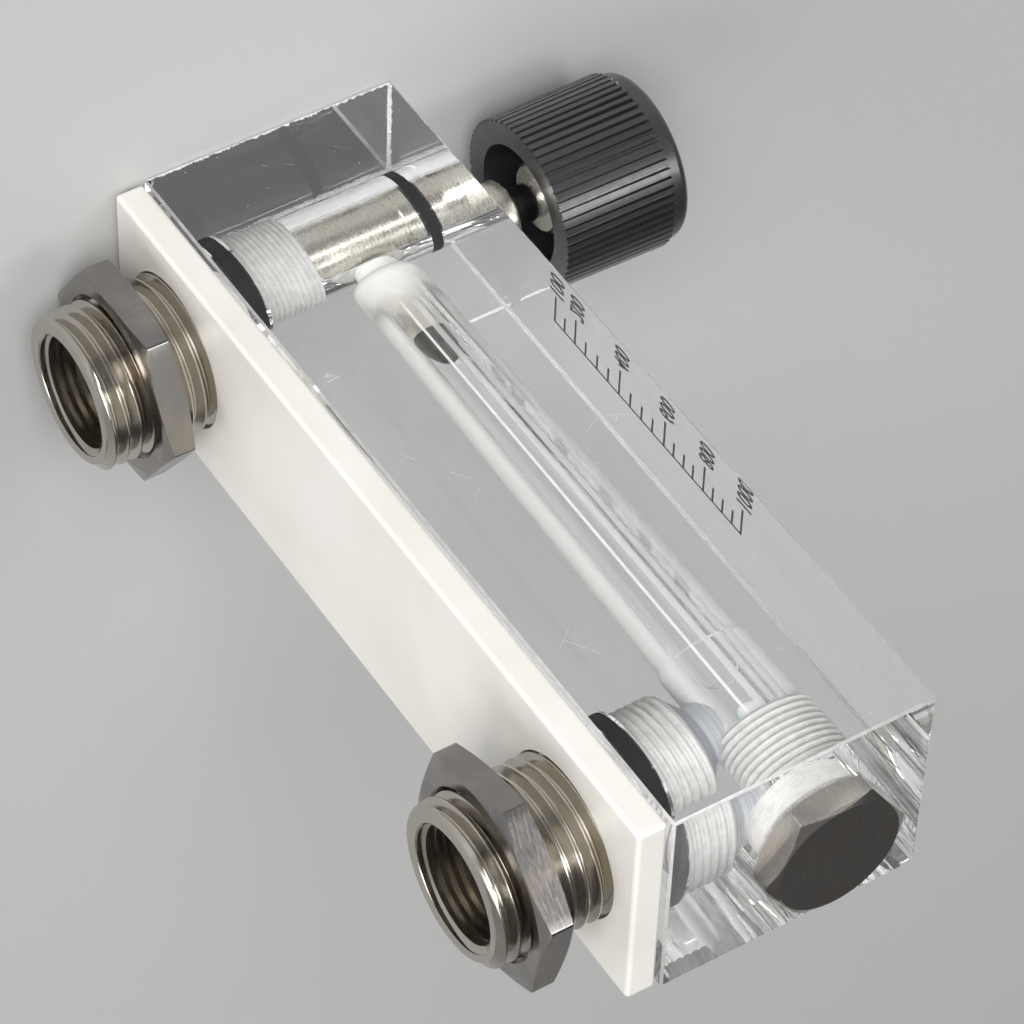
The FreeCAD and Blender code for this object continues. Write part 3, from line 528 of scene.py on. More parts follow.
FROSTED_ACRYLIC = make_frosted_acrylic()
DRILLED_ACRYLIC = make_drilled_acrylic()
BORED_ACRYLIC = make_bored_acrylic()
SAWN_ACRYLIC = make_sawn_acrylic()
print("frosted, drilled, bored and sawn acrylic ready")

# %% [markdown]
# The metal is brass with a nickel plate: a warm grey mirror, a little yellow where the plate is
# thin. The lathe leaves fine rings round each turned face, which draw every highlight out into a
# streak along the piece: the shader's anisotropy does that, with the tangent round the axis. The
# nuts and the plug meet a wrench, so a fine hatch of scratches lies over their plate.
# One function makes all of these metals, and a table holds what sets each of them apart.

# %% Plated and turned metal
SCRATCH_COLOUR = (0.85, 0.82, 0.78)
HATCH_ACROSS = {"across": (0.25, 0.95, 0.2), "spacing": 0.55, "width": 0.03, "share": 0.48}
HATCH_DOWN = {"across": (0.7, 0.1, -0.7), "spacing": 1.1, "width": 0.03, "share": 0.42}
RING_STRETCH = {"Y": (0.02, 3.0, 0.02), "Z": (0.02, 0.02, 3.0)}


def turned_metal(name, bright, worn, roughness, ring_depth, axis, scratch, streak, marks=0.0):
    """Metal with turning rings across its axis ("Y" or "Z"), scratches and uneven plating."""
    material, shader = new_finish(name, bright, roughness, Metallic=1.0, Anisotropic=streak)
    place = place_in_mm(material)
    tangent = add_node(material, "Tangent", {"direction_type": "RADIAL", "axis": axis})
    feed(material, shader, "Tangent", tangent.outputs["Tangent"])
    patches = span(material, cloud(material, place, 0.16, 2), 0.40, 0.75)
    colour = tint(material, patches, bright, worn)
    if marks:
        across = hairlines(material, **HATCH_ACROSS)
        down = hairlines(material, **HATCH_DOWN)
        lines = maths(material, "MULTIPLY", maths(material, "MAXIMUM", across, down), marks)
        mixed = add_node(material, "Mix", {"data_type": "RGBA"}, i0=lines, i6=colour,
                         i7=(*SCRATCH_COLOUR, 1))
        colour = mixed.outputs[2]
    feed(material, shader, "Base Color", colour)
    rings = cloud(material, place_in_mm(material, RING_STRETCH[axis]), 1.0, 2, 0.5)
    scuffs = cloud(material, place_in_mm(material, (0.25, 4.0, 0.9), (0.4, 0.9, 0.2)), 1.0, 2)
    relief = maths(material, "ADD", rings, maths(material, "MULTIPLY", scuffs, scratch))
    raise_surface(material, shader, relief, ring_depth)
    shine = span(material, scuffs, 0.35, 0.7, roughness * 0.85, roughness * 1.25)
    feed(material, shader, "Roughness", shine)
    return material


METALS = {
    "nickel_stud": {"bright": (0.53, 0.50, 0.45), "worn": (0.50, 0.45, 0.385),
                    "roughness": 0.17, "ring_depth": 0.003, "axis": "Y", "scratch": 0.3, "streak": 0.5},
    # The nuts have the studs' plating, painted darker: a painted dark reflection on every flat.
    "nickel_nut": {"bright": (0.275, 0.265, 0.26), "worn": (0.36, 0.325, 0.29),
                   "roughness": 0.20, "ring_depth": 0.003, "axis": "Y", "scratch": 1.0, "streak": 0.3,
                   "marks": 0.22},
    "nickel_plug": {"bright": (0.46, 0.44, 0.415), "worn": (0.50, 0.45, 0.39),
                    "roughness": 0.16, "ring_depth": 0.003, "axis": "Z", "scratch": 0.4, "streak": 0.3,
                    "marks": 0.18},
    "plated_valve": {"bright": (0.72, 0.69, 0.615), "worn": (0.70, 0.65, 0.56),
                     "roughness": 0.24, "ring_depth": 0.0008, "axis": "Y", "scratch": 0.0, "streak": 0.7},
    "stem_steel": {"bright": (0.74, 0.74, 0.73), "worn": (0.70, 0.69, 0.67),
                   "roughness": 0.20, "ring_depth": 0.002, "axis": "Y", "scratch": 0.1, "streak": 0.6},
    "float_steel": {"bright": (0.84, 0.81, 0.74), "worn": (0.82, 0.78, 0.70),
                    "roughness": 0.34, "ring_depth": 0.0002, "axis": "Z", "scratch": 0.0, "streak": 0.3},
    # The float's top: the same steel painted dark, a painted shade.
    "float_top_steel": {"bright": (0.13, 0.12, 0.11), "worn": (0.16, 0.14, 0.12),
                        "roughness": 0.34, "ring_depth": 0.001, "axis": "Z", "scratch": 0.1, "streak": 0.3},
}
FINISHES = {name: turned_metal(name, **values) for name, values in METALS.items()}
STUD_METAL = FINISHES["nickel_stud"]
NUT_METAL_PAINTED_DARK = FINISHES["nickel_nut"]
PLUG_METAL = FINISHES["nickel_plug"]
VALVE_METAL = FINISHES["plated_valve"]
STEM_STEEL = FINISHES["stem_steel"]
FLOAT_STEEL = FINISHES["float_steel"]
FLOAT_TOP_PAINTED_SHADE = FINISHES["float_top_steel"]
print("metals ready:", ", ".join(FINISHES))

# %% [markdown]
# The plastics: the back plate is a satin white with a faint moulded grain and a few scuffs. The
# knob is a hard black with a fine gloss. The rings are dull black rubber. The stop pin is a milky
# plastic that light goes into.

# %% Plastics and rubber
PLATE_COLOUR = (0.86, 0.84, 0.79)
PLATE_SHADE = (0.80, 0.77, 0.71)
PLATE_ROUGHNESS = 0.34
PLATE_SCUFFS = {"across": (0.8, 0.1, 0.6), "spacing": 8.0, "width": 0.12, "share": 0.42}
SCUFF_ROUGHNESS = 0.6
PIN_COLOUR = (0.88, 0.88, 0.87)
KNOB_COLOUR = (0.016, 0.0155, 0.019)
RUBBER_COLOUR = (0.006, 0.006, 0.0065)


def make_white_plastic():
    """Satin white with a faint stain, scuffs and grain."""
    material, shader = new_finish("white_plastic", PLATE_COLOUR, PLATE_ROUGHNESS)
    place = place_in_mm(material)
    stain = span(material, cloud(material, place, 0.05, 3), 0.35, 0.75)
    feed(material, shader, "Base Color", tint(material, stain, PLATE_COLOUR, PLATE_SHADE))
    scuffs = hairlines(material, **PLATE_SCUFFS)
    feed(material, shader, "Roughness", span(material, scuffs, 0, 1, PLATE_ROUGHNESS, SCUFF_ROUGHNESS))
    grain = maths(material, "ADD", cloud(material, place, 2.4), maths(material, "MULTIPLY", scuffs, 0.6))
    raise_surface(material, shader, grain, 0.01)
    return material


def make_black_plastic():
    """Hard black, with faint lines along the ribs from the mould."""
    material, shader = new_finish("black_plastic", KNOB_COLOUR, 0.34, Coat_Weight=0.6, Coat_Roughness=0.16,
                                  Specular_IOR_Level=1.0)
    place = place_in_mm(material)
    drag = cloud(material, place_in_mm(material, (3.0, 0.06, 3.0)), 1.0)
    feed(material, shader, "Roughness", span(material, cloud(material, place, 0.7), 0.3, 0.7, 0.30, 0.40))
    raise_surface(material, shader, drag, 0.004)
    return material


def make_black_rubber():
    """Dull black, a little uneven."""
    material, shader = new_finish("black_rubber", RUBBER_COLOUR, 0.6, Specular_IOR_Level=0.1)
    place = place_in_mm(material)
    feed(material, shader, "Roughness", span(material, cloud(material, place, 1.5), 0.3, 0.7, 0.52, 0.72))
    raise_surface(material, shader, cloud(material, place, 2.0, 1), 0.004)
    return material


def make_milky_plastic():
    """White that glows a little from inside, with turning rings."""
    material, shader = new_finish("milky_plastic", PIN_COLOUR, 0.38, Subsurface_Weight=0.6,
                                  Subsurface_Scale=1.2 * MM)
    rings = cloud(material, place_in_mm(material, (0.05, 0.05, 4.0)), 1.0)
    raise_surface(material, shader, rings, 0.01)
    return material


WHITE_PLASTIC = make_white_plastic()
BLACK_PLASTIC = make_black_plastic()
BLACK_RUBBER = make_black_rubber()
MILKY_PLASTIC = make_milky_plastic()
print("plastics and rubber ready")

# %% [markdown]
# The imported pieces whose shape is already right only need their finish. A table of piece and
# finish is easier to read and to change than one statement for each.

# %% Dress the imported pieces
DRESS = {
    "back_plate": WHITE_PLASTIC,
    "valve_cartridge": VALVE_METAL,
    "knob_insert": VALVE_METAL,
    "stem_stop_ring": STEM_STEEL,
    "valve_stem": STEM_STEEL,
    "knob_set_screw": STEM_STEEL,
    "stem_seal": BLACK_RUBBER,
    "knob": BLACK_PLASTIC,
    "metering_float": FLOAT_STEEL,
    "float_stop": MILKY_PLASTIC,
}
for node, finish in DRESS.items():
    NODES[node].material_slots[0].material = finish
print("dressed:", ", ".join(DRESS))

# %% [markdown]
# The float's top is a faced end that looks up into the bore. It is painted darker than the polished
# side, a painted shade. It is a second material slot on the same mesh, for the faces at the top.

# %% Paint shade on the float's top
float_mesh = NODES["metering_float"].data
float_mesh.materials.append(FLOAT_TOP_PAINTED_SHADE)
float_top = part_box("metering_float")[1].z / MM
TOP_REACH = 0.7
top_faces = [face for face in float_mesh.polygons
             if face.center.z / MM > float_top - TOP_REACH and face.normal.z > 0.5]
for face in top_faces:
    face.material_index = 1
print("faces on the float's top:", len(top_faces))

# %% [markdown]
# A screw thread is a ridge wound round a cylinder. Bump can't give its notched outline, and a
# Screw modifier leaves ragged ends. Here the wall is a net of points whose rows climb with the
# ridge, so every crest is a clean line, and the rows are cut off level at both ends.
# The same net serves outside threads, inside threads and the frosted threads in the block.

# %% A lathe that also winds threads
SIDES = 96
THREAD_STEPS = 14
THREAD_FLAT = 0.16
CUT_FLAT = 0.13
WELD = 0.0005
SHARP = 38


def thread_profile(turns):
    """Height of a rounded thread, from 0 in its root to 1 on its crest, at a place in pitches."""
    slope = 1 - abs(2 * (turns % 1.0) - 1)
    rise = min(max((slope - THREAD_FLAT) / (1 - 2 * THREAD_FLAT), 0.0), 1.0)
    return 0.5 * rise + 0.5 * rise * rise * (3 - 2 * rise)


def cut_profile(turns):
    """The same for a thread that a die has cut: straight flanks between narrow flats."""
    slope = 1 - abs(2 * (turns % 1.0) - 1)
    return min(max((slope - CUT_FLAT) / (1 - 2 * CUT_FLAT), 0.0), 1.0)


class Turning:
    """Turned walls round one axis, collected into one closed mesh. Sizes are in millimetres."""

    def __init__(self, to_frame, sides=SIDES, angles=None):
        self.to_frame = to_frame
        self.angles = angles or [2 * math.pi * side / sides for side in range(sides)]
        self.sides = len(self.angles)
        self.points = []
        self.ridges = []
        self.faces = []

    def point(self, radius, along, side, ridge=0.0):
        """One point on the given side of the lathe. Returns its number in the mesh."""
        self.points.append(self.to_frame(radius, along, self.angles[side]))
        self.ridges.append(ridge)
        return len(self.points) - 1

    def ring(self, radius, along):
        """A level ring of one radius."""
        return [self.point(radius, along, side) for side in range(self.sides)]

    def rings(self, outline):
        """One ring for each (radius, along) point of the outline."""
        return [self.ring(radius, along) for radius, along in outline]

    def plain(self, outline):
        """A wall through the outline's points."""
        self.join(self.rings(outline))

    def join(self, rings):
        """Bands of faces from each ring to the next."""
        for ring, following in zip(rings, rings[1:]):
            for side in range(self.sides):
                after = (side + 1) % self.sides
                self.faces.append((ring[side], ring[after], following[after], following[side]))

    def ring_at(self, radius_at, along, start, pitch):
        """A level ring that follows a thread's edge."""
        return [self.point(radius_at(along, (along - start) / pitch - side / self.sides), along, side)
                for side in range(self.sides)]

    def wound(self, start, end, pitch, radius_at):
        """A wall whose rows climb one pitch a turn; radius_at(along, turns) is its radius."""
        step = pitch / THREAD_STEPS
        count = math.ceil((end - start) / step)
        rows = {}
        for row in range(-THREAD_STEPS, count + THREAD_STEPS + 1):
            for side in range(self.sides):
                climb = start + (row + THREAD_STEPS * side / self.sides) * step
                along = min(max(climb, start), end)
                turns = (along - start) / pitch - side / self.sides
                rows[row, side] = self.point(radius_at(along, turns), along, side, thread_profile(turns))
        for row in range(-THREAD_STEPS, count):
            for side in range(self.sides):
                last = side == self.sides - 1
                after = (row + THREAD_STEPS, 0) if last else (row, side + 1)
                self.faces.append((rows[row, side], rows[after], rows[after[0] + 1, after[1]],
                                   rows[row + 1, side]))

    def mesh(self, name):
        """One mesh of all the walls, welded and cleaned."""
        mesh = bpy.data.meshes.new(name)
        mesh.from_pydata(self.points, [], self.faces)
        mesh.attributes.new(RIDGE, "FLOAT", "POINT").data.foreach_set("value", self.ridges)
        shape = bmesh.new()
        shape.from_mesh(mesh)
        bmesh.ops.remove_doubles(shape, verts=shape.verts, dist=WELD * MM)
        bmesh.ops.dissolve_degenerate(shape, edges=shape.edges, dist=WELD * MM)
        bmesh.ops.recalc_face_normals(shape, faces=shape.faces)
        shape.to_mesh(mesh)
        shape.free()
        return mesh

    def make(self, name, material, body, sharp_degrees=SHARP):
        """The finished piece, riding on its body."""
        return finish_piece(name, self.mesh(name), material, body, sharp_degrees)


def smooth_but_sharp(mesh, sharp_degrees):
    """Smooth shading, with every edge over the given angle kept sharp. Returns the open edges."""
    shape = bmesh.new()
    shape.from_mesh(mesh)
    limit = math.radians(sharp_degrees)
    for edge in shape.edges:
        edge.smooth = edge.is_manifold and edge.calc_face_angle(0) < limit
    open_edges = sum(not edge.is_manifold for edge in shape.edges)
    shape.to_mesh(mesh)
    shape.free()
    mesh.polygons.foreach_set("use_smooth", [True] * len(mesh.polygons))
    return open_edges


def finish_piece(name, mesh, material, body, sharp_degrees=SHARP):
    """A piece of the model with its finish, riding on its body."""
    open_edges = smooth_but_sharp(mesh, sharp_degrees)
    piece = add_object(name, mesh)
    mesh.materials.append(material)
    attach(piece, body)
    print(f"{name}: {len(mesh.polygons)} faces, {open_edges} open edges")
    return piece


def across_block(height):
    """Places round an axis along +Y at the given height."""
    def to_frame(radius, along, angle):
        return (radius * math.cos(angle) * MM, along * MM, (height - radius * math.sin(angle)) * MM)

    return to_frame


def up_bore(radius, along, angle):
    """Places round the metering bore's axis, along +Z."""
    return (radius * math.cos(angle) * MM, (BORE_AXIS + radius * math.sin(angle)) * MM, along * MM)


print("lathe ready:", SIDES, "sides")

# %% [markdown]
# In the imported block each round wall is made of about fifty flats. That is plenty for a solid, but
# clear material bends light at every flat, and they would show as stripes. So the same block is
# cut once more from the same sizes with finer walls: a bar with chamfered edges, and three turned
# cutters for the valve way, the outlet way and the metering way. Booleans take them out. Turning
# each cutter like a form tool keeps every step of its bore on one axis.

# %% Cut the block with finer walls
BLOCK_SIDES = 224
BLOCK_CHAMFER = 0.3
OVERSHOOT = 2.0
PORT_RECESS = 5.0
PORT_RECESS_RADIUS = 8.4
PORT_TAP_RADIUS = 7.1
INLET_TAP_END = BACK - 13.2
OUTLET_TAP_END = BACK - 11.5
CONE_DEPTH = 2.0
PILOT_RADIUS = 4.3
VALVE_BORE_RADIUS = 6.9
NECK_RADIUS = 3.0
FLOAT_SEAT = INLET_AXIS + 8.0
FOOT_RADIUS = 4.85
HEAD_RADIUS = 5.85
FLOOR_ROUND = 1.7
ROUND_STEPS = 10
CHAMBER_RADIUS = 6.3
CHAMBER_FOOT = OUTLET_AXIS - 9.6
PLUG_TAP_RADIUS = 6.5
PLUG_TAP_END = TOP - 12.5
PLUG_RECESS_RADIUS = 8.15
PLUG_RECESS = 2.0


def valve_way():
    """From the front face through to the inlet's port."""
    return [(0, FRONT - OVERSHOOT), (VALVE_BORE_RADIUS, FRONT - OVERSHOOT),
            (VALVE_BORE_RADIUS, INLET_TAP_END), (PORT_TAP_RADIUS, INLET_TAP_END),
            (PORT_TAP_RADIUS, BACK - PORT_RECESS), (PORT_RECESS_RADIUS, BACK - PORT_RECESS),
            (PORT_RECESS_RADIUS, BACK + OVERSHOOT), (0, BACK + OVERSHOOT)]


def outlet_way():
    """From the metering bore back to the outlet's port."""
    return [(0, BORE_AXIS), (PILOT_RADIUS, BORE_AXIS), (PILOT_RADIUS, OUTLET_TAP_END - CONE_DEPTH),
            (PORT_TAP_RADIUS, OUTLET_TAP_END), (PORT_TAP_RADIUS, BACK - PORT_RECESS),
            (PORT_RECESS_RADIUS, BACK - PORT_RECESS), (PORT_RECESS_RADIUS, BACK + OVERSHOOT),
            (0, BACK + OVERSHOOT)]


def metering_way():
    """From inside the valve bore up, with the rounded floor that the float sits over."""
    wall_at_round = FOOT_RADIUS + (HEAD_RADIUS - FOOT_RADIUS) * FLOOR_ROUND / (CHAMBER_FOOT - FLOAT_SEAT)
    outline = [(0, INLET_AXIS), (NECK_RADIUS, INLET_AXIS), (NECK_RADIUS, FLOAT_SEAT)]
    for step in range(ROUND_STEPS + 1):
        angle = math.pi / 2 * step / ROUND_STEPS
        outline.append((wall_at_round - FLOOR_ROUND * (1 - math.sin(angle)),
                        FLOAT_SEAT + FLOOR_ROUND * (1 - math.cos(angle))))
    return outline + [(HEAD_RADIUS, CHAMBER_FOOT), (CHAMBER_RADIUS, CHAMBER_FOOT),
                      (CHAMBER_RADIUS, PLUG_TAP_END), (PLUG_TAP_RADIUS, PLUG_TAP_END),
                      (PLUG_TAP_RADIUS, TOP - PLUG_RECESS), (PLUG_RECESS_RADIUS, TOP - PLUG_RECESS),
                      (PLUG_RECESS_RADIUS, TOP + OVERSHOOT), (0, TOP + OVERSHOOT)]


def chamfered_bar():
    """The bar that the block is cut from."""
    size = block_high - block_low
    shape = bmesh.new()
    bmesh.ops.create_cube(shape, size=MM, matrix=Matrix.Translation((block_low + block_high) / 2 * MM)
                          @ Matrix.Diagonal((*size, 1)))
    bmesh.ops.bevel(shape, geom=shape.edges[:], offset=BLOCK_CHAMFER * MM, segments=1, affect="EDGES")
    mesh = bpy.data.meshes.new("clear_block")
    shape.to_mesh(mesh)
    shape.free()
    return mesh


def cut_block():
    """The bar with the three ways taken out of it."""
    bar = add_object("bar", chamfered_bar())
    cutters = []
    for name, place, outline in (("valve_way", across_block(INLET_AXIS), valve_way()),
                                 ("outlet_way", across_block(OUTLET_AXIS), outlet_way()),
                                 ("metering_way", up_bore, metering_way())):
        lathe = Turning(place, BLOCK_SIDES)
        lathe.plain(outline)
        cutter = add_object(name, lathe.mesh(name))
        cut = bar.modifiers.new(name, "BOOLEAN")
        cut.operation = "DIFFERENCE"
        cut.solver = "EXACT"
        cut.object = cutter
        cutters.append(cutter)
    bpy.context.view_layer.update()
    mesh = bpy.data.meshes.new_from_object(bar.evaluated_get(bpy.context.evaluated_depsgraph_get()))
    for spare in (bar, *cutters):
        bpy.data.objects.remove(spare)
    mesh.materials.clear()
    block = finish_piece("clear_block", mesh, CLEAR_ACRYLIC, "meter")
    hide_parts("flow_block")
    return block


clear_block = cut_block()

# %% [markdown]
# The block is one piece of acrylic with several kinds of surface: polished faces, the bored
# metering way, tapped walls, the drilled way to the outlet, and the sawn edge at its foot. Its
# other edges get the white of a tapped wall, a painted highlight along each edge.
# A face knows where it is, so its distance from each axis says which kind it belongs to.
# Each kind is a material slot on the same mesh.

# %% Sort the block's faces
SURFACES = [CLEAR_ACRYLIC, BORED_ACRYLIC, FROSTED_ACRYLIC, DRILLED_ACRYLIC, SAWN_ACRYLIC]
POLISHED, BORED, TAPPED, DRILLED, SAWN = range(len(SURFACES))
NEAR = 0.05
TAP_STEP = 1.0


def between(low, value, high):
    """Whether a value lies between two others, and not on either."""
    return low + NEAR < value < high - NEAR


def surface_kind(centre):
    """The kind of surface that the face round the given point belongs to."""
    from_bore = math.hypot(centre.x, centre.y - BORE_AXIS)
    from_inlet = math.hypot(centre.x, centre.z - INLET_AXIS)
    from_outlet = math.hypot(centre.x, centre.z - OUTLET_AXIS)
    taps_end = BACK - PORT_RECESS
    to_sides = [min(value - low, high - value) for low, value, high in zip(block_low, centre, block_high)]
    # The foot's edges are sawn; the other edges get the tapped white as a painted highlight.
    if sum(gap < BLOCK_CHAMFER for gap in to_sides) > 1:
        return SAWN if centre.z < BLOCK_CHAMFER else TAPPED
    if from_inlet < PORT_TAP_RADIUS + NEAR and between(INLET_TAP_END - TAP_STEP, centre.y, taps_end):
        return TAPPED if centre.y > INLET_TAP_END - NEAR else POLISHED
    if from_outlet < PORT_TAP_RADIUS + NEAR and between(OUTLET_TAP_END, centre.y, taps_end):
        return TAPPED
    if from_outlet < PILOT_RADIUS + NEAR and from_bore > CHAMBER_RADIUS + NEAR \
            and between(BORE_AXIS, centre.y, OUTLET_TAP_END - CONE_DEPTH):
        return DRILLED
    if between(OUTLET_TAP_END - CONE_DEPTH, centre.y, OUTLET_TAP_END) and from_outlet < PORT_TAP_RADIUS:
        return DRILLED
    if from_bore < PLUG_RECESS_RADIUS + NEAR and between(PLUG_TAP_END, centre.z, TOP):
        return TAPPED
    if from_bore < CHAMBER_RADIUS and abs(centre.z - CHAMBER_FOOT) < NEAR:
        return TAPPED
    if from_bore < CHAMBER_RADIUS + NEAR and between(INLET_AXIS, centre.z, PLUG_TAP_END) \
            and from_inlet > VALVE_BORE_RADIUS + NEAR:
        return BORED
    return POLISHED


for surface in SURFACES[1:]:
    clear_block.data.materials.append(surface)
for face in clear_block.data.polygons:
    face.material_index = surface_kind(face.center / MM)
counts = [sum(face.material_index == kind for face in clear_block.data.polygons)
          for kind in range(len(SURFACES))]
print("faces polished, bored, tapped, drilled, sawn:", counts)

# %% [markdown]
# Each stud is a hollow brass bolt. Outside it has the panel thread, inside a pipe thread with a
# countersunk mouth, and its spigot sits in the block behind a rubber ring. It is turned here as
# one closed skin: spigot, seal groove, collar, panel thread, end face, pipe thread and way.

# %% Turn the two studs
STUD_PITCH = 1.814
PANEL_THREAD_DEPTH = 1.16
STUD_ROOT = STUD_CREST - PANEL_THREAD_DEPTH
PIPE_PITCH = 1.337
PIPE_CREST = 7.475
PIPE_ROOT = 8.33
PIPE_DEPTH = 12.9
END_CHAMFER = 0.6
STUD_WAY = 4.3
WAY_CONE = 1.8
SPIGOT = {"end": BACK - 10.2, "crest": 7.05, "root": 6.5, "pitch": 1.1}
GROOVE_FLOOR = 5.55
COLLAR = {"radius": 8.35, "start": BACK - 2.0}


def panel_thread(along, turns):
    """Radius of the panel thread, turned down by the chamfer at its end."""
    cut = max(0.0, along - (STUD_END - END_CHAMFER))
    radius = STUD_ROOT + (STUD_CREST - STUD_ROOT) * cut_profile(turns)
    return min(radius, STUD_CREST - cut)


def pipe_thread(along, turns):
    """Radius of the pipe thread's wall, opened by the countersink at its mouth."""
    cut = max(0.0, along - (STUD_END - END_CHAMFER))
    return max(PIPE_ROOT - (PIPE_ROOT - PIPE_CREST) * cut_profile(turns), PIPE_CREST + cut)


def spigot_thread(along, turns):
    """Radius of the thread that holds the stud in the block."""
    return SPIGOT["root"] + (SPIGOT["crest"] - SPIGOT["root"]) * thread_profile(turns)


def turn_stud(name, node, height):
    """One stud, as one closed skin."""
    lathe = Turning(across_block(height))
    groove = BACK - PORT_RECESS
    floor = STUD_END - PIPE_DEPTH
    lathe.wound(SPIGOT["end"], groove, SPIGOT["pitch"], spigot_thread)
    spigot_foot = lathe.ring_at(spigot_thread, SPIGOT["end"], SPIGOT["end"], SPIGOT["pitch"])
    spigot_head = lathe.ring_at(spigot_thread, groove, SPIGOT["end"], SPIGOT["pitch"])
    lathe.join([spigot_head, lathe.ring(GROOVE_FLOOR, groove)])
    lathe.plain([(GROOVE_FLOOR, groove), (GROOVE_FLOOR, COLLAR["start"]),
                 (COLLAR["radius"], COLLAR["start"]), (COLLAR["radius"], BACK)])
    collar_end = lathe.ring(COLLAR["radius"], BACK)
    lathe.join([collar_end, lathe.ring_at(panel_thread, BACK, BACK, STUD_PITCH)])
    lathe.wound(BACK, STUD_END, STUD_PITCH, panel_thread)
    lathe.join([lathe.ring_at(panel_thread, STUD_END, BACK, STUD_PITCH),
                lathe.ring_at(pipe_thread, STUD_END, floor, PIPE_PITCH)])
    lathe.wound(floor, STUD_END, PIPE_PITCH, pipe_thread)
    way_start = lathe.ring(STUD_WAY, floor - WAY_CONE)
    way_end = lathe.ring(STUD_WAY, SPIGOT["end"])
    lathe.join([lathe.ring_at(pipe_thread, floor, floor, PIPE_PITCH), way_start, way_end, spigot_foot])
    stud = lathe.make(name, STUD_METAL, "meter")
    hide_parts(node)
    return stud


turn_stud("inlet_stud", "inlet_fitting", INLET_AXIS)
turn_stud("outlet_stud", "outlet_fitting", OUTLET_AXIS)

# %% [markdown]
# The panel nuts and the plug's head are hexagon bar with the corners turned down on the lathe.
# That gives each flat its curved ends. A cone cut by a Boolean would do it too. Here the wall's
# reach from the axis is worked out at each angle, and the chamfer drops with that reach, so the
# curves come out true. The corners are a little rounded, and catch the light as thin lines.

# %% Turn the hexagons
FLAT_STEPS = 6
CORNER_BENDS = (-30, -20, -10, 0, 10, 20, 30)
NUT_HEXAGON = {"flats": 26.0, "corner_radius": 0.5, "face": 12.8, "slope": 15}
PLUG_HEXAGON = {"flats": 17.0, "corner_radius": 0.45, "face": 8.35, "slope": 30}
HEXAGON_SHARP = 12
NUT_CLEARANCE = 0.07
NUT_COUNTERSINK = 0.5
INLET_NUT_TURN = -5
OUTLET_NUT_TURN = -43


def hexagon_outline(flats, corner_radius):
    """(angle, reach) points round a hexagon with rounded corners, from the middle of one flat."""
    to_flat = flats / 2
    to_centre = (to_flat - corner_radius) / math.cos(math.pi / 6)
    corner = []
    for bend in map(math.radians, CORNER_BENDS):
        out, aside = to_centre + corner_radius * math.cos(bend), corner_radius * math.sin(bend)
        corner.append((math.pi / 6 + math.atan2(aside, out), math.hypot(out, aside)))
    flat_end = corner[0][0]
    first = [flat_end * step / FLAT_STEPS for step in range(FLAT_STEPS)]
    sixth = [(angle, to_flat / math.cos(angle)) for angle in first] + corner
    sixth += [(math.pi / 3 - angle, to_flat / math.cos(angle)) for angle in reversed(first[1:])]
    return [(angle + math.pi / 3 * flat, reach) for flat in range(6) for angle, reach in sixth]


def hexagon_lathe(to_frame, hexagon, turn_degrees):
    """A lathe with one side for each point of the hexagon, and the reach of each."""
    outline = hexagon_outline(hexagon["flats"], hexagon["corner_radius"])
    lathe = Turning(to_frame, angles=[angle + math.radians(turn_degrees) for angle, reach in outline])
    return lathe, [reach for angle, reach in outline]


def hexagon_wall(lathe, reaches, hexagon, low, high):
    """Four rings, from one face circle over the flats to the other."""
    slope = math.tan(math.radians(hexagon["slope"]))
    face = hexagon["face"]
    rings = [[], [], [], []]
    for side, reach in enumerate(reaches):
        drop = (reach - face) * slope
        outline = ((face, low), (reach, low + drop), (reach, high - drop), (face, high))
        for ring, (radius, along) in zip(rings, outline):
            ring.append(lathe.point(radius, along, side))
    return rings


def turn_nut(name, node, height, turn_degrees, body):
    """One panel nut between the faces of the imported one, turned by the given angle."""
    low, high = [corner.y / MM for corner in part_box(node)]
    lathe, reaches = hexagon_lathe(across_block(height), NUT_HEXAGON, turn_degrees)
    bore = STUD_CREST + NUT_CLEARANCE
    mouth = bore + NUT_COUNTERSINK
    outline = ((mouth, high), (bore, high - NUT_COUNTERSINK), (bore, low + NUT_COUNTERSINK), (mouth, low))
    inside = lathe.rings(outline)
    wall = hexagon_wall(lathe, reaches, NUT_HEXAGON, low, high)
    lathe.join([*wall, *inside, wall[0]])
    nut = lathe.make(name, NUT_METAL_PAINTED_DARK, body, HEXAGON_SHARP)
    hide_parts(node)
    return nut


turn_nut("inlet_stud_nut", "inlet_panel_nut", INLET_AXIS, INLET_NUT_TURN, "inlet_nut")
turn_nut("outlet_stud_nut", "outlet_panel_nut", OUTLET_AXIS, OUTLET_NUT_TURN, "outlet_nut")

# %% [markdown]
# The plug is one turned piece: a shank with a socket for the stop pin, a neck for the rubber ring
# and the hexagon head.

# %% Turn the plug
PLUG_TURN = 4
PLUG_SHANK = PLUG_TAP_RADIUS - 0.05
SHANK_CHAMFER = 0.5
PLUG_NECK = 6.1
PLUG_HEAD_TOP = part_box("end_plug")[1].z / MM
PLUG_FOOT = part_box("end_plug")[0].z / MM
PIN_SOCKET = {"radius": 3.15, "depth": 5.0}


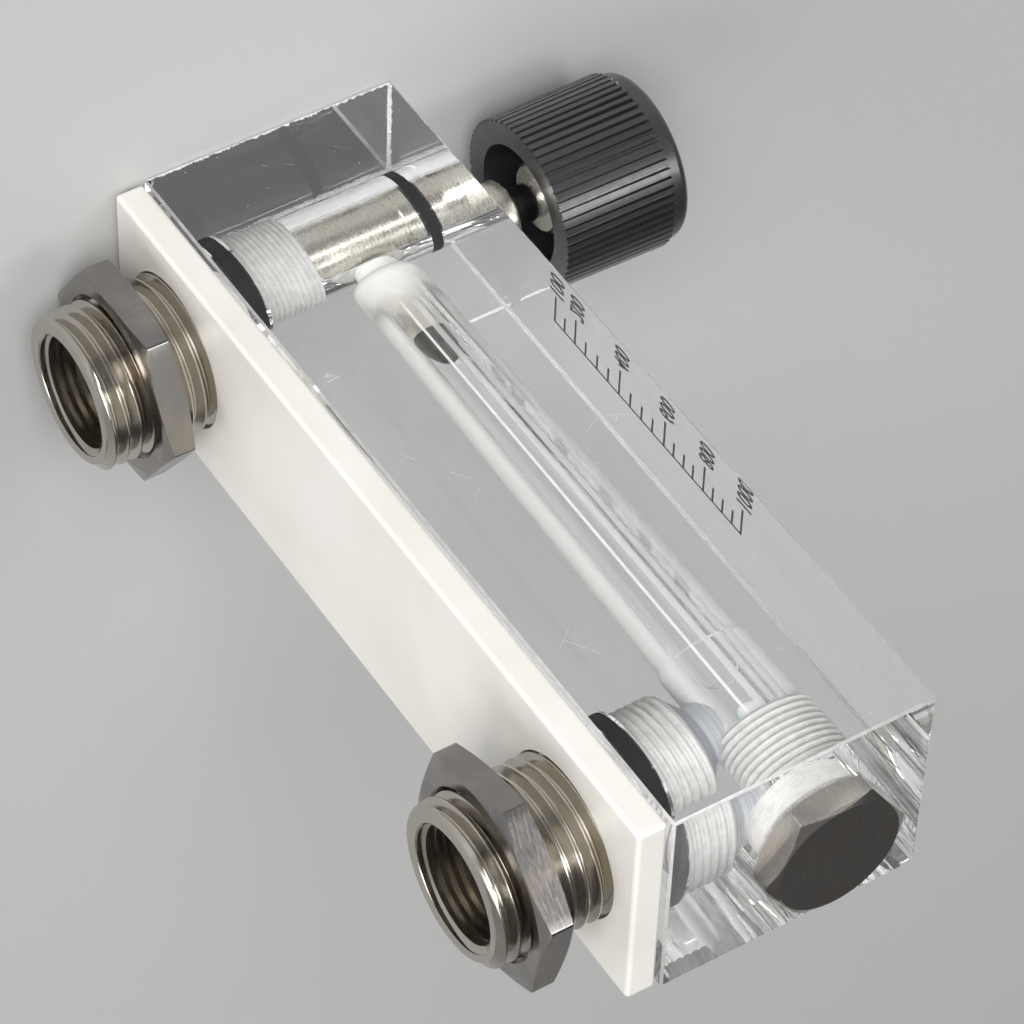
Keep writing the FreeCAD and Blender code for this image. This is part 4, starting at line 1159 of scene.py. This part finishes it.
def turn_plug():
    """The plug, from the floor of its socket round the outside to the middle of its head."""
    lathe, reaches = hexagon_lathe(up_bore, PLUG_HEXAGON, PLUG_TURN)
    socket = PIN_SOCKET["radius"]
    outline = [(0, PLUG_FOOT + PIN_SOCKET["depth"]), (socket, PLUG_FOOT + PIN_SOCKET["depth"]),
               (socket, PLUG_FOOT), (PLUG_SHANK - SHANK_CHAMFER, PLUG_FOOT),
               (PLUG_SHANK, PLUG_FOOT + SHANK_CHAMFER),
               (PLUG_SHANK, TOP - PLUG_RECESS), (PLUG_NECK, TOP - PLUG_RECESS), (PLUG_NECK, TOP)]
    rings = lathe.rings(outline)
    head = hexagon_wall(lathe, reaches, PLUG_HEXAGON, TOP, PLUG_HEAD_TOP)
    centre = lathe.ring(0, PLUG_HEAD_TOP)
    lathe.join([*rings, *head, centre])
    plug = lathe.make("head_plug", PLUG_METAL, "meter", HEXAGON_SHARP)
    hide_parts("end_plug")
    return plug


turn_plug()

# %% [markdown]
# The tapped holes in the block show as white ridged sleeves, seen through the clear faces. They
# are thin closed sleeves that lie in the acrylic just outside the tapped wall, so that nothing of
# the clear block comes between the eye and the ridges but acrylic.

# %% Wind the frosted threads
SLEEVE_WALL = 0.03
TAPS = {
    "inlet_tap": {"place": across_block(INLET_AXIS), "start": INLET_TAP_END, "end": BACK - PORT_RECESS,
                  "pitch": 0.76, "wall": PORT_TAP_RADIUS, "crest": 7.48},
    "outlet_tap": {"place": across_block(OUTLET_AXIS), "start": OUTLET_TAP_END, "end": BACK - PORT_RECESS,
                   "pitch": 1.15, "wall": PORT_TAP_RADIUS, "crest": 7.58},
    "plug_tap": {"place": up_bore, "start": PLUG_TAP_END, "end": TOP - PLUG_RECESS,
                 "pitch": 1.0, "wall": PLUG_TAP_RADIUS, "crest": 7.0},
}


def wind_tap(name, place, start, end, pitch, wall, crest):
    """A thin closed sleeve with the thread's ridges outside."""
    inner = wall + SLEEVE_WALL
    root = inner + SLEEVE_WALL

    def radius_at(along, turns):
        return root + (crest - root) * thread_profile(turns)

    lathe = Turning(place)
    lathe.wound(start, end, pitch, radius_at)
    foot = lathe.ring_at(radius_at, start, start, pitch)
    head = lathe.ring_at(radius_at, end, start, pitch)
    lathe.join([foot, lathe.ring(inner, start), lathe.ring(inner, end), head])
    tap = lathe.make(name, FROSTED_ACRYLIC, "meter")
    return tap


for name, sizes in TAPS.items():
    wind_tap(name, **sizes)

# %% [markdown]
# A rubber ring that is squeezed in its groove is no longer round: it lies flat on the walls.
# Where it presses on the acrylic there is no air between them, so it shows at its full width.
# Each ring here is a rounded bar bent into a ring, and its outer flat goes a hair into the block.

# %% Squeeze the rubber rings
CONTACT = 0.02
RING_GAP = 0.02
RING_SIDE_GAP = 0.05
CORNER_STEPS = 5


def bar_outline(inner, outer, low, high, round_by):
    """A rectangle with rounded corners, as (radius, along) points."""
    outline = []
    corners = [(outer, low, -90), (outer, high, 0), (inner, high, 90), (inner, low, 180)]
    for radius, along, first in corners:
        centre_radius = radius - round_by if radius == outer else radius + round_by
        centre_along = along + round_by if along == low else along - round_by
        for step in range(CORNER_STEPS + 1):
            angle = math.radians(first + 90 * step / CORNER_STEPS)
            outline.append((centre_radius + round_by * math.cos(angle),
                            centre_along + round_by * math.sin(angle)))
    return outline + outline[:1]


def squeeze_ring(name, node, place, inner, outer, low, high, round_by):
    """One rubber ring in its groove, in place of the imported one."""
    lathe = Turning(place)
    lathe.plain(bar_outline(inner, outer + CONTACT, low, high, round_by))
    ring = lathe.make(name, BLACK_RUBBER, "meter")
    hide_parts(node)
    return ring


COLLAR_RING = {"inner": GROOVE_FLOOR + RING_GAP, "outer": PORT_RECESS_RADIUS,
               "low": BACK - PORT_RECESS + RING_SIDE_GAP, "high": COLLAR["start"] - RING_SIDE_GAP,
               "round_by": 0.5}
squeeze_ring("inlet_ring", "inlet_seal", across_block(INLET_AXIS), **COLLAR_RING)
squeeze_ring("outlet_ring", "outlet_seal", across_block(OUTLET_AXIS), **COLLAR_RING)

RINGS = {
    "cartridge_ring": {"node": "cartridge_seal", "place": across_block(INLET_AXIS),
                       "along": middle("cartridge_seal").y, "inner": 4.97, "outer": VALVE_BORE_RADIUS,
                       "half": 1.0, "round_by": 0.35},
    "seat_ring": {"node": "seat_seal", "place": across_block(INLET_AXIS),
                  "along": middle("seat_seal").y, "inner": 5.87, "outer": 7.08,
                  "half": 0.62, "round_by": 0.3},
    "plug_ring": {"node": "end_plug_seal", "place": up_bore,
                  "along": middle("end_plug_seal").z, "inner": PLUG_NECK + RING_GAP, "outer": 8.13,
                  "half": 0.95, "round_by": 0.45},
}
for name, ring in RINGS.items():
    squeeze_ring(name, ring["node"], ring["place"], ring["inner"], ring["outer"],
                 ring["along"] - ring["half"], ring["along"] + ring["half"], ring["round_by"])

# %% [markdown]
# The scale is printed on the front face: one upright line, short and long ticks, and plain
# numbers. Ink lies in full contact with the acrylic, which is why it shows from behind as well,
# so the print goes a hair into the face. The tick heights bunch up as the bore widens.

# %% Print the scale
PRINT_OUT = 0.01
PRINT_IN = 0.03
SCALE_LINE = -1.8
SHORT_TICK_END = 2.4
LONG_TICK_END = 5.7
LINE_WIDTH = 0.34
TICK_HEIGHTS = [39.7, 41.9, 44.3, 46.7, 49.3, 51.8, 54.3, 56.8, 59.3, 61.7, 64.3, 66.4, 68.6, 70.6, 72.9,
                74.9, 77.0, 79.1, 81.0]
FIRST_READING = 100
READING_STEP = 50
NUMBERED = (100, 200, 400, 600, 800, 1000)
INK_COLOUR = (0.015, 0.015, 0.017)
INK_ROUGHNESS = 0.45
PRINT_MIDDLE = FRONT + (PRINT_IN - PRINT_OUT) / 2


def make_ink():
    """Black ink that is a little uneven in its gloss."""
    material, shader = new_finish("print_ink", INK_COLOUR, INK_ROUGHNESS)
    grain = cloud(material, place_in_mm(material), 3.0)
    feed(material, shader, "Roughness", span(material, grain, 0.3, 0.7, 0.35, 0.6))
    return material


def lay_print(name, mesh):
    """A printed piece on the block."""
    mesh.materials.append(INK)
    piece = add_object(name, mesh)
    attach(piece, "meter")


def print_bars(name, bars):
    """Flat bars of ink on the front face, each from (x, z) to (x, z), as one piece."""
    shape = bmesh.new()
    for left, bottom, right_side, upper in bars:
        size = Vector((right_side - left, PRINT_IN + PRINT_OUT, upper - bottom)) * MM
        centre = Vector(((left + right_side) / 2, PRINT_MIDDLE, (bottom + upper) / 2)) * MM
        bmesh.ops.create_cube(shape, size=1.0,
                              matrix=Matrix.Translation(centre) @ Matrix.Diagonal((*size, 1)))
    mesh = bpy.data.meshes.new(name)
    shape.to_mesh(mesh)
    shape.free()
    lay_print(name, mesh)


INK = make_ink()
half = LINE_WIDTH / 2
bars = [(SCALE_LINE - half, TICK_HEIGHTS[0] - half, SCALE_LINE + half, TICK_HEIGHTS[-1] + half)]
readings = [FIRST_READING + READING_STEP * index for index in range(len(TICK_HEIGHTS))]
for reading, height in zip(readings, TICK_HEIGHTS):
    end = LONG_TICK_END if reading in NUMBERED else SHORT_TICK_END
    bars.append((SCALE_LINE, height - half, end, height + half))
print_bars("scale_ticks", bars)
print(f"scale with {len(TICK_HEIGHTS)} ticks, {readings[0]} to {readings[-1]}")

# %% [markdown]
# Blender has a plain font of its own, so the numbers need no file. Each number is a text curve
# with a little depth, turned to face the front and changed to a mesh.

# %% Print the numbers
NUMBER_LEFT = 7.0
NUMBER_HEIGHT = 3.2
DIGIT_WIDTH = 1.85
FONT_HEIGHT_SHARE = 0.72
INK_SPREAD = 0.04


def print_number(reading, height):
    """One number at the given height, squeezed to the width of its digits."""
    text = bpy.data.curves.new(f"number_{reading}", "FONT")
    text.body = str(reading)
    text.size = NUMBER_HEIGHT / FONT_HEIGHT_SHARE * MM
    text.extrude = (PRINT_IN + PRINT_OUT) / 2 * MM
    text.align_y = "CENTER"
    text.offset = INK_SPREAD * MM
    holder = add_object(text.name, text)
    bpy.context.view_layer.update()
    mesh = bpy.data.meshes.new_from_object(holder.evaluated_get(bpy.context.evaluated_depsgraph_get()))
    bpy.data.objects.remove(holder)
    start = min(vertex.co.x for vertex in mesh.vertices)
    width = max(vertex.co.x for vertex in mesh.vertices) - start
    squeeze = min(1.0, DIGIT_WIDTH * len(text.body) * MM / width)
    for vertex in mesh.vertices:
        across = NUMBER_LEFT * MM + (vertex.co.x - start) * squeeze
        vertex.co = (across, PRINT_MIDDLE * MM - vertex.co.z, height * MM + vertex.co.y)
    mesh.materials.clear()
    lay_print(f"number_{reading}", mesh)


for reading, height in zip(readings, TICK_HEIGHTS):
    if reading in NUMBERED:
        print_number(reading, height)
print("numbers:", NUMBERED)
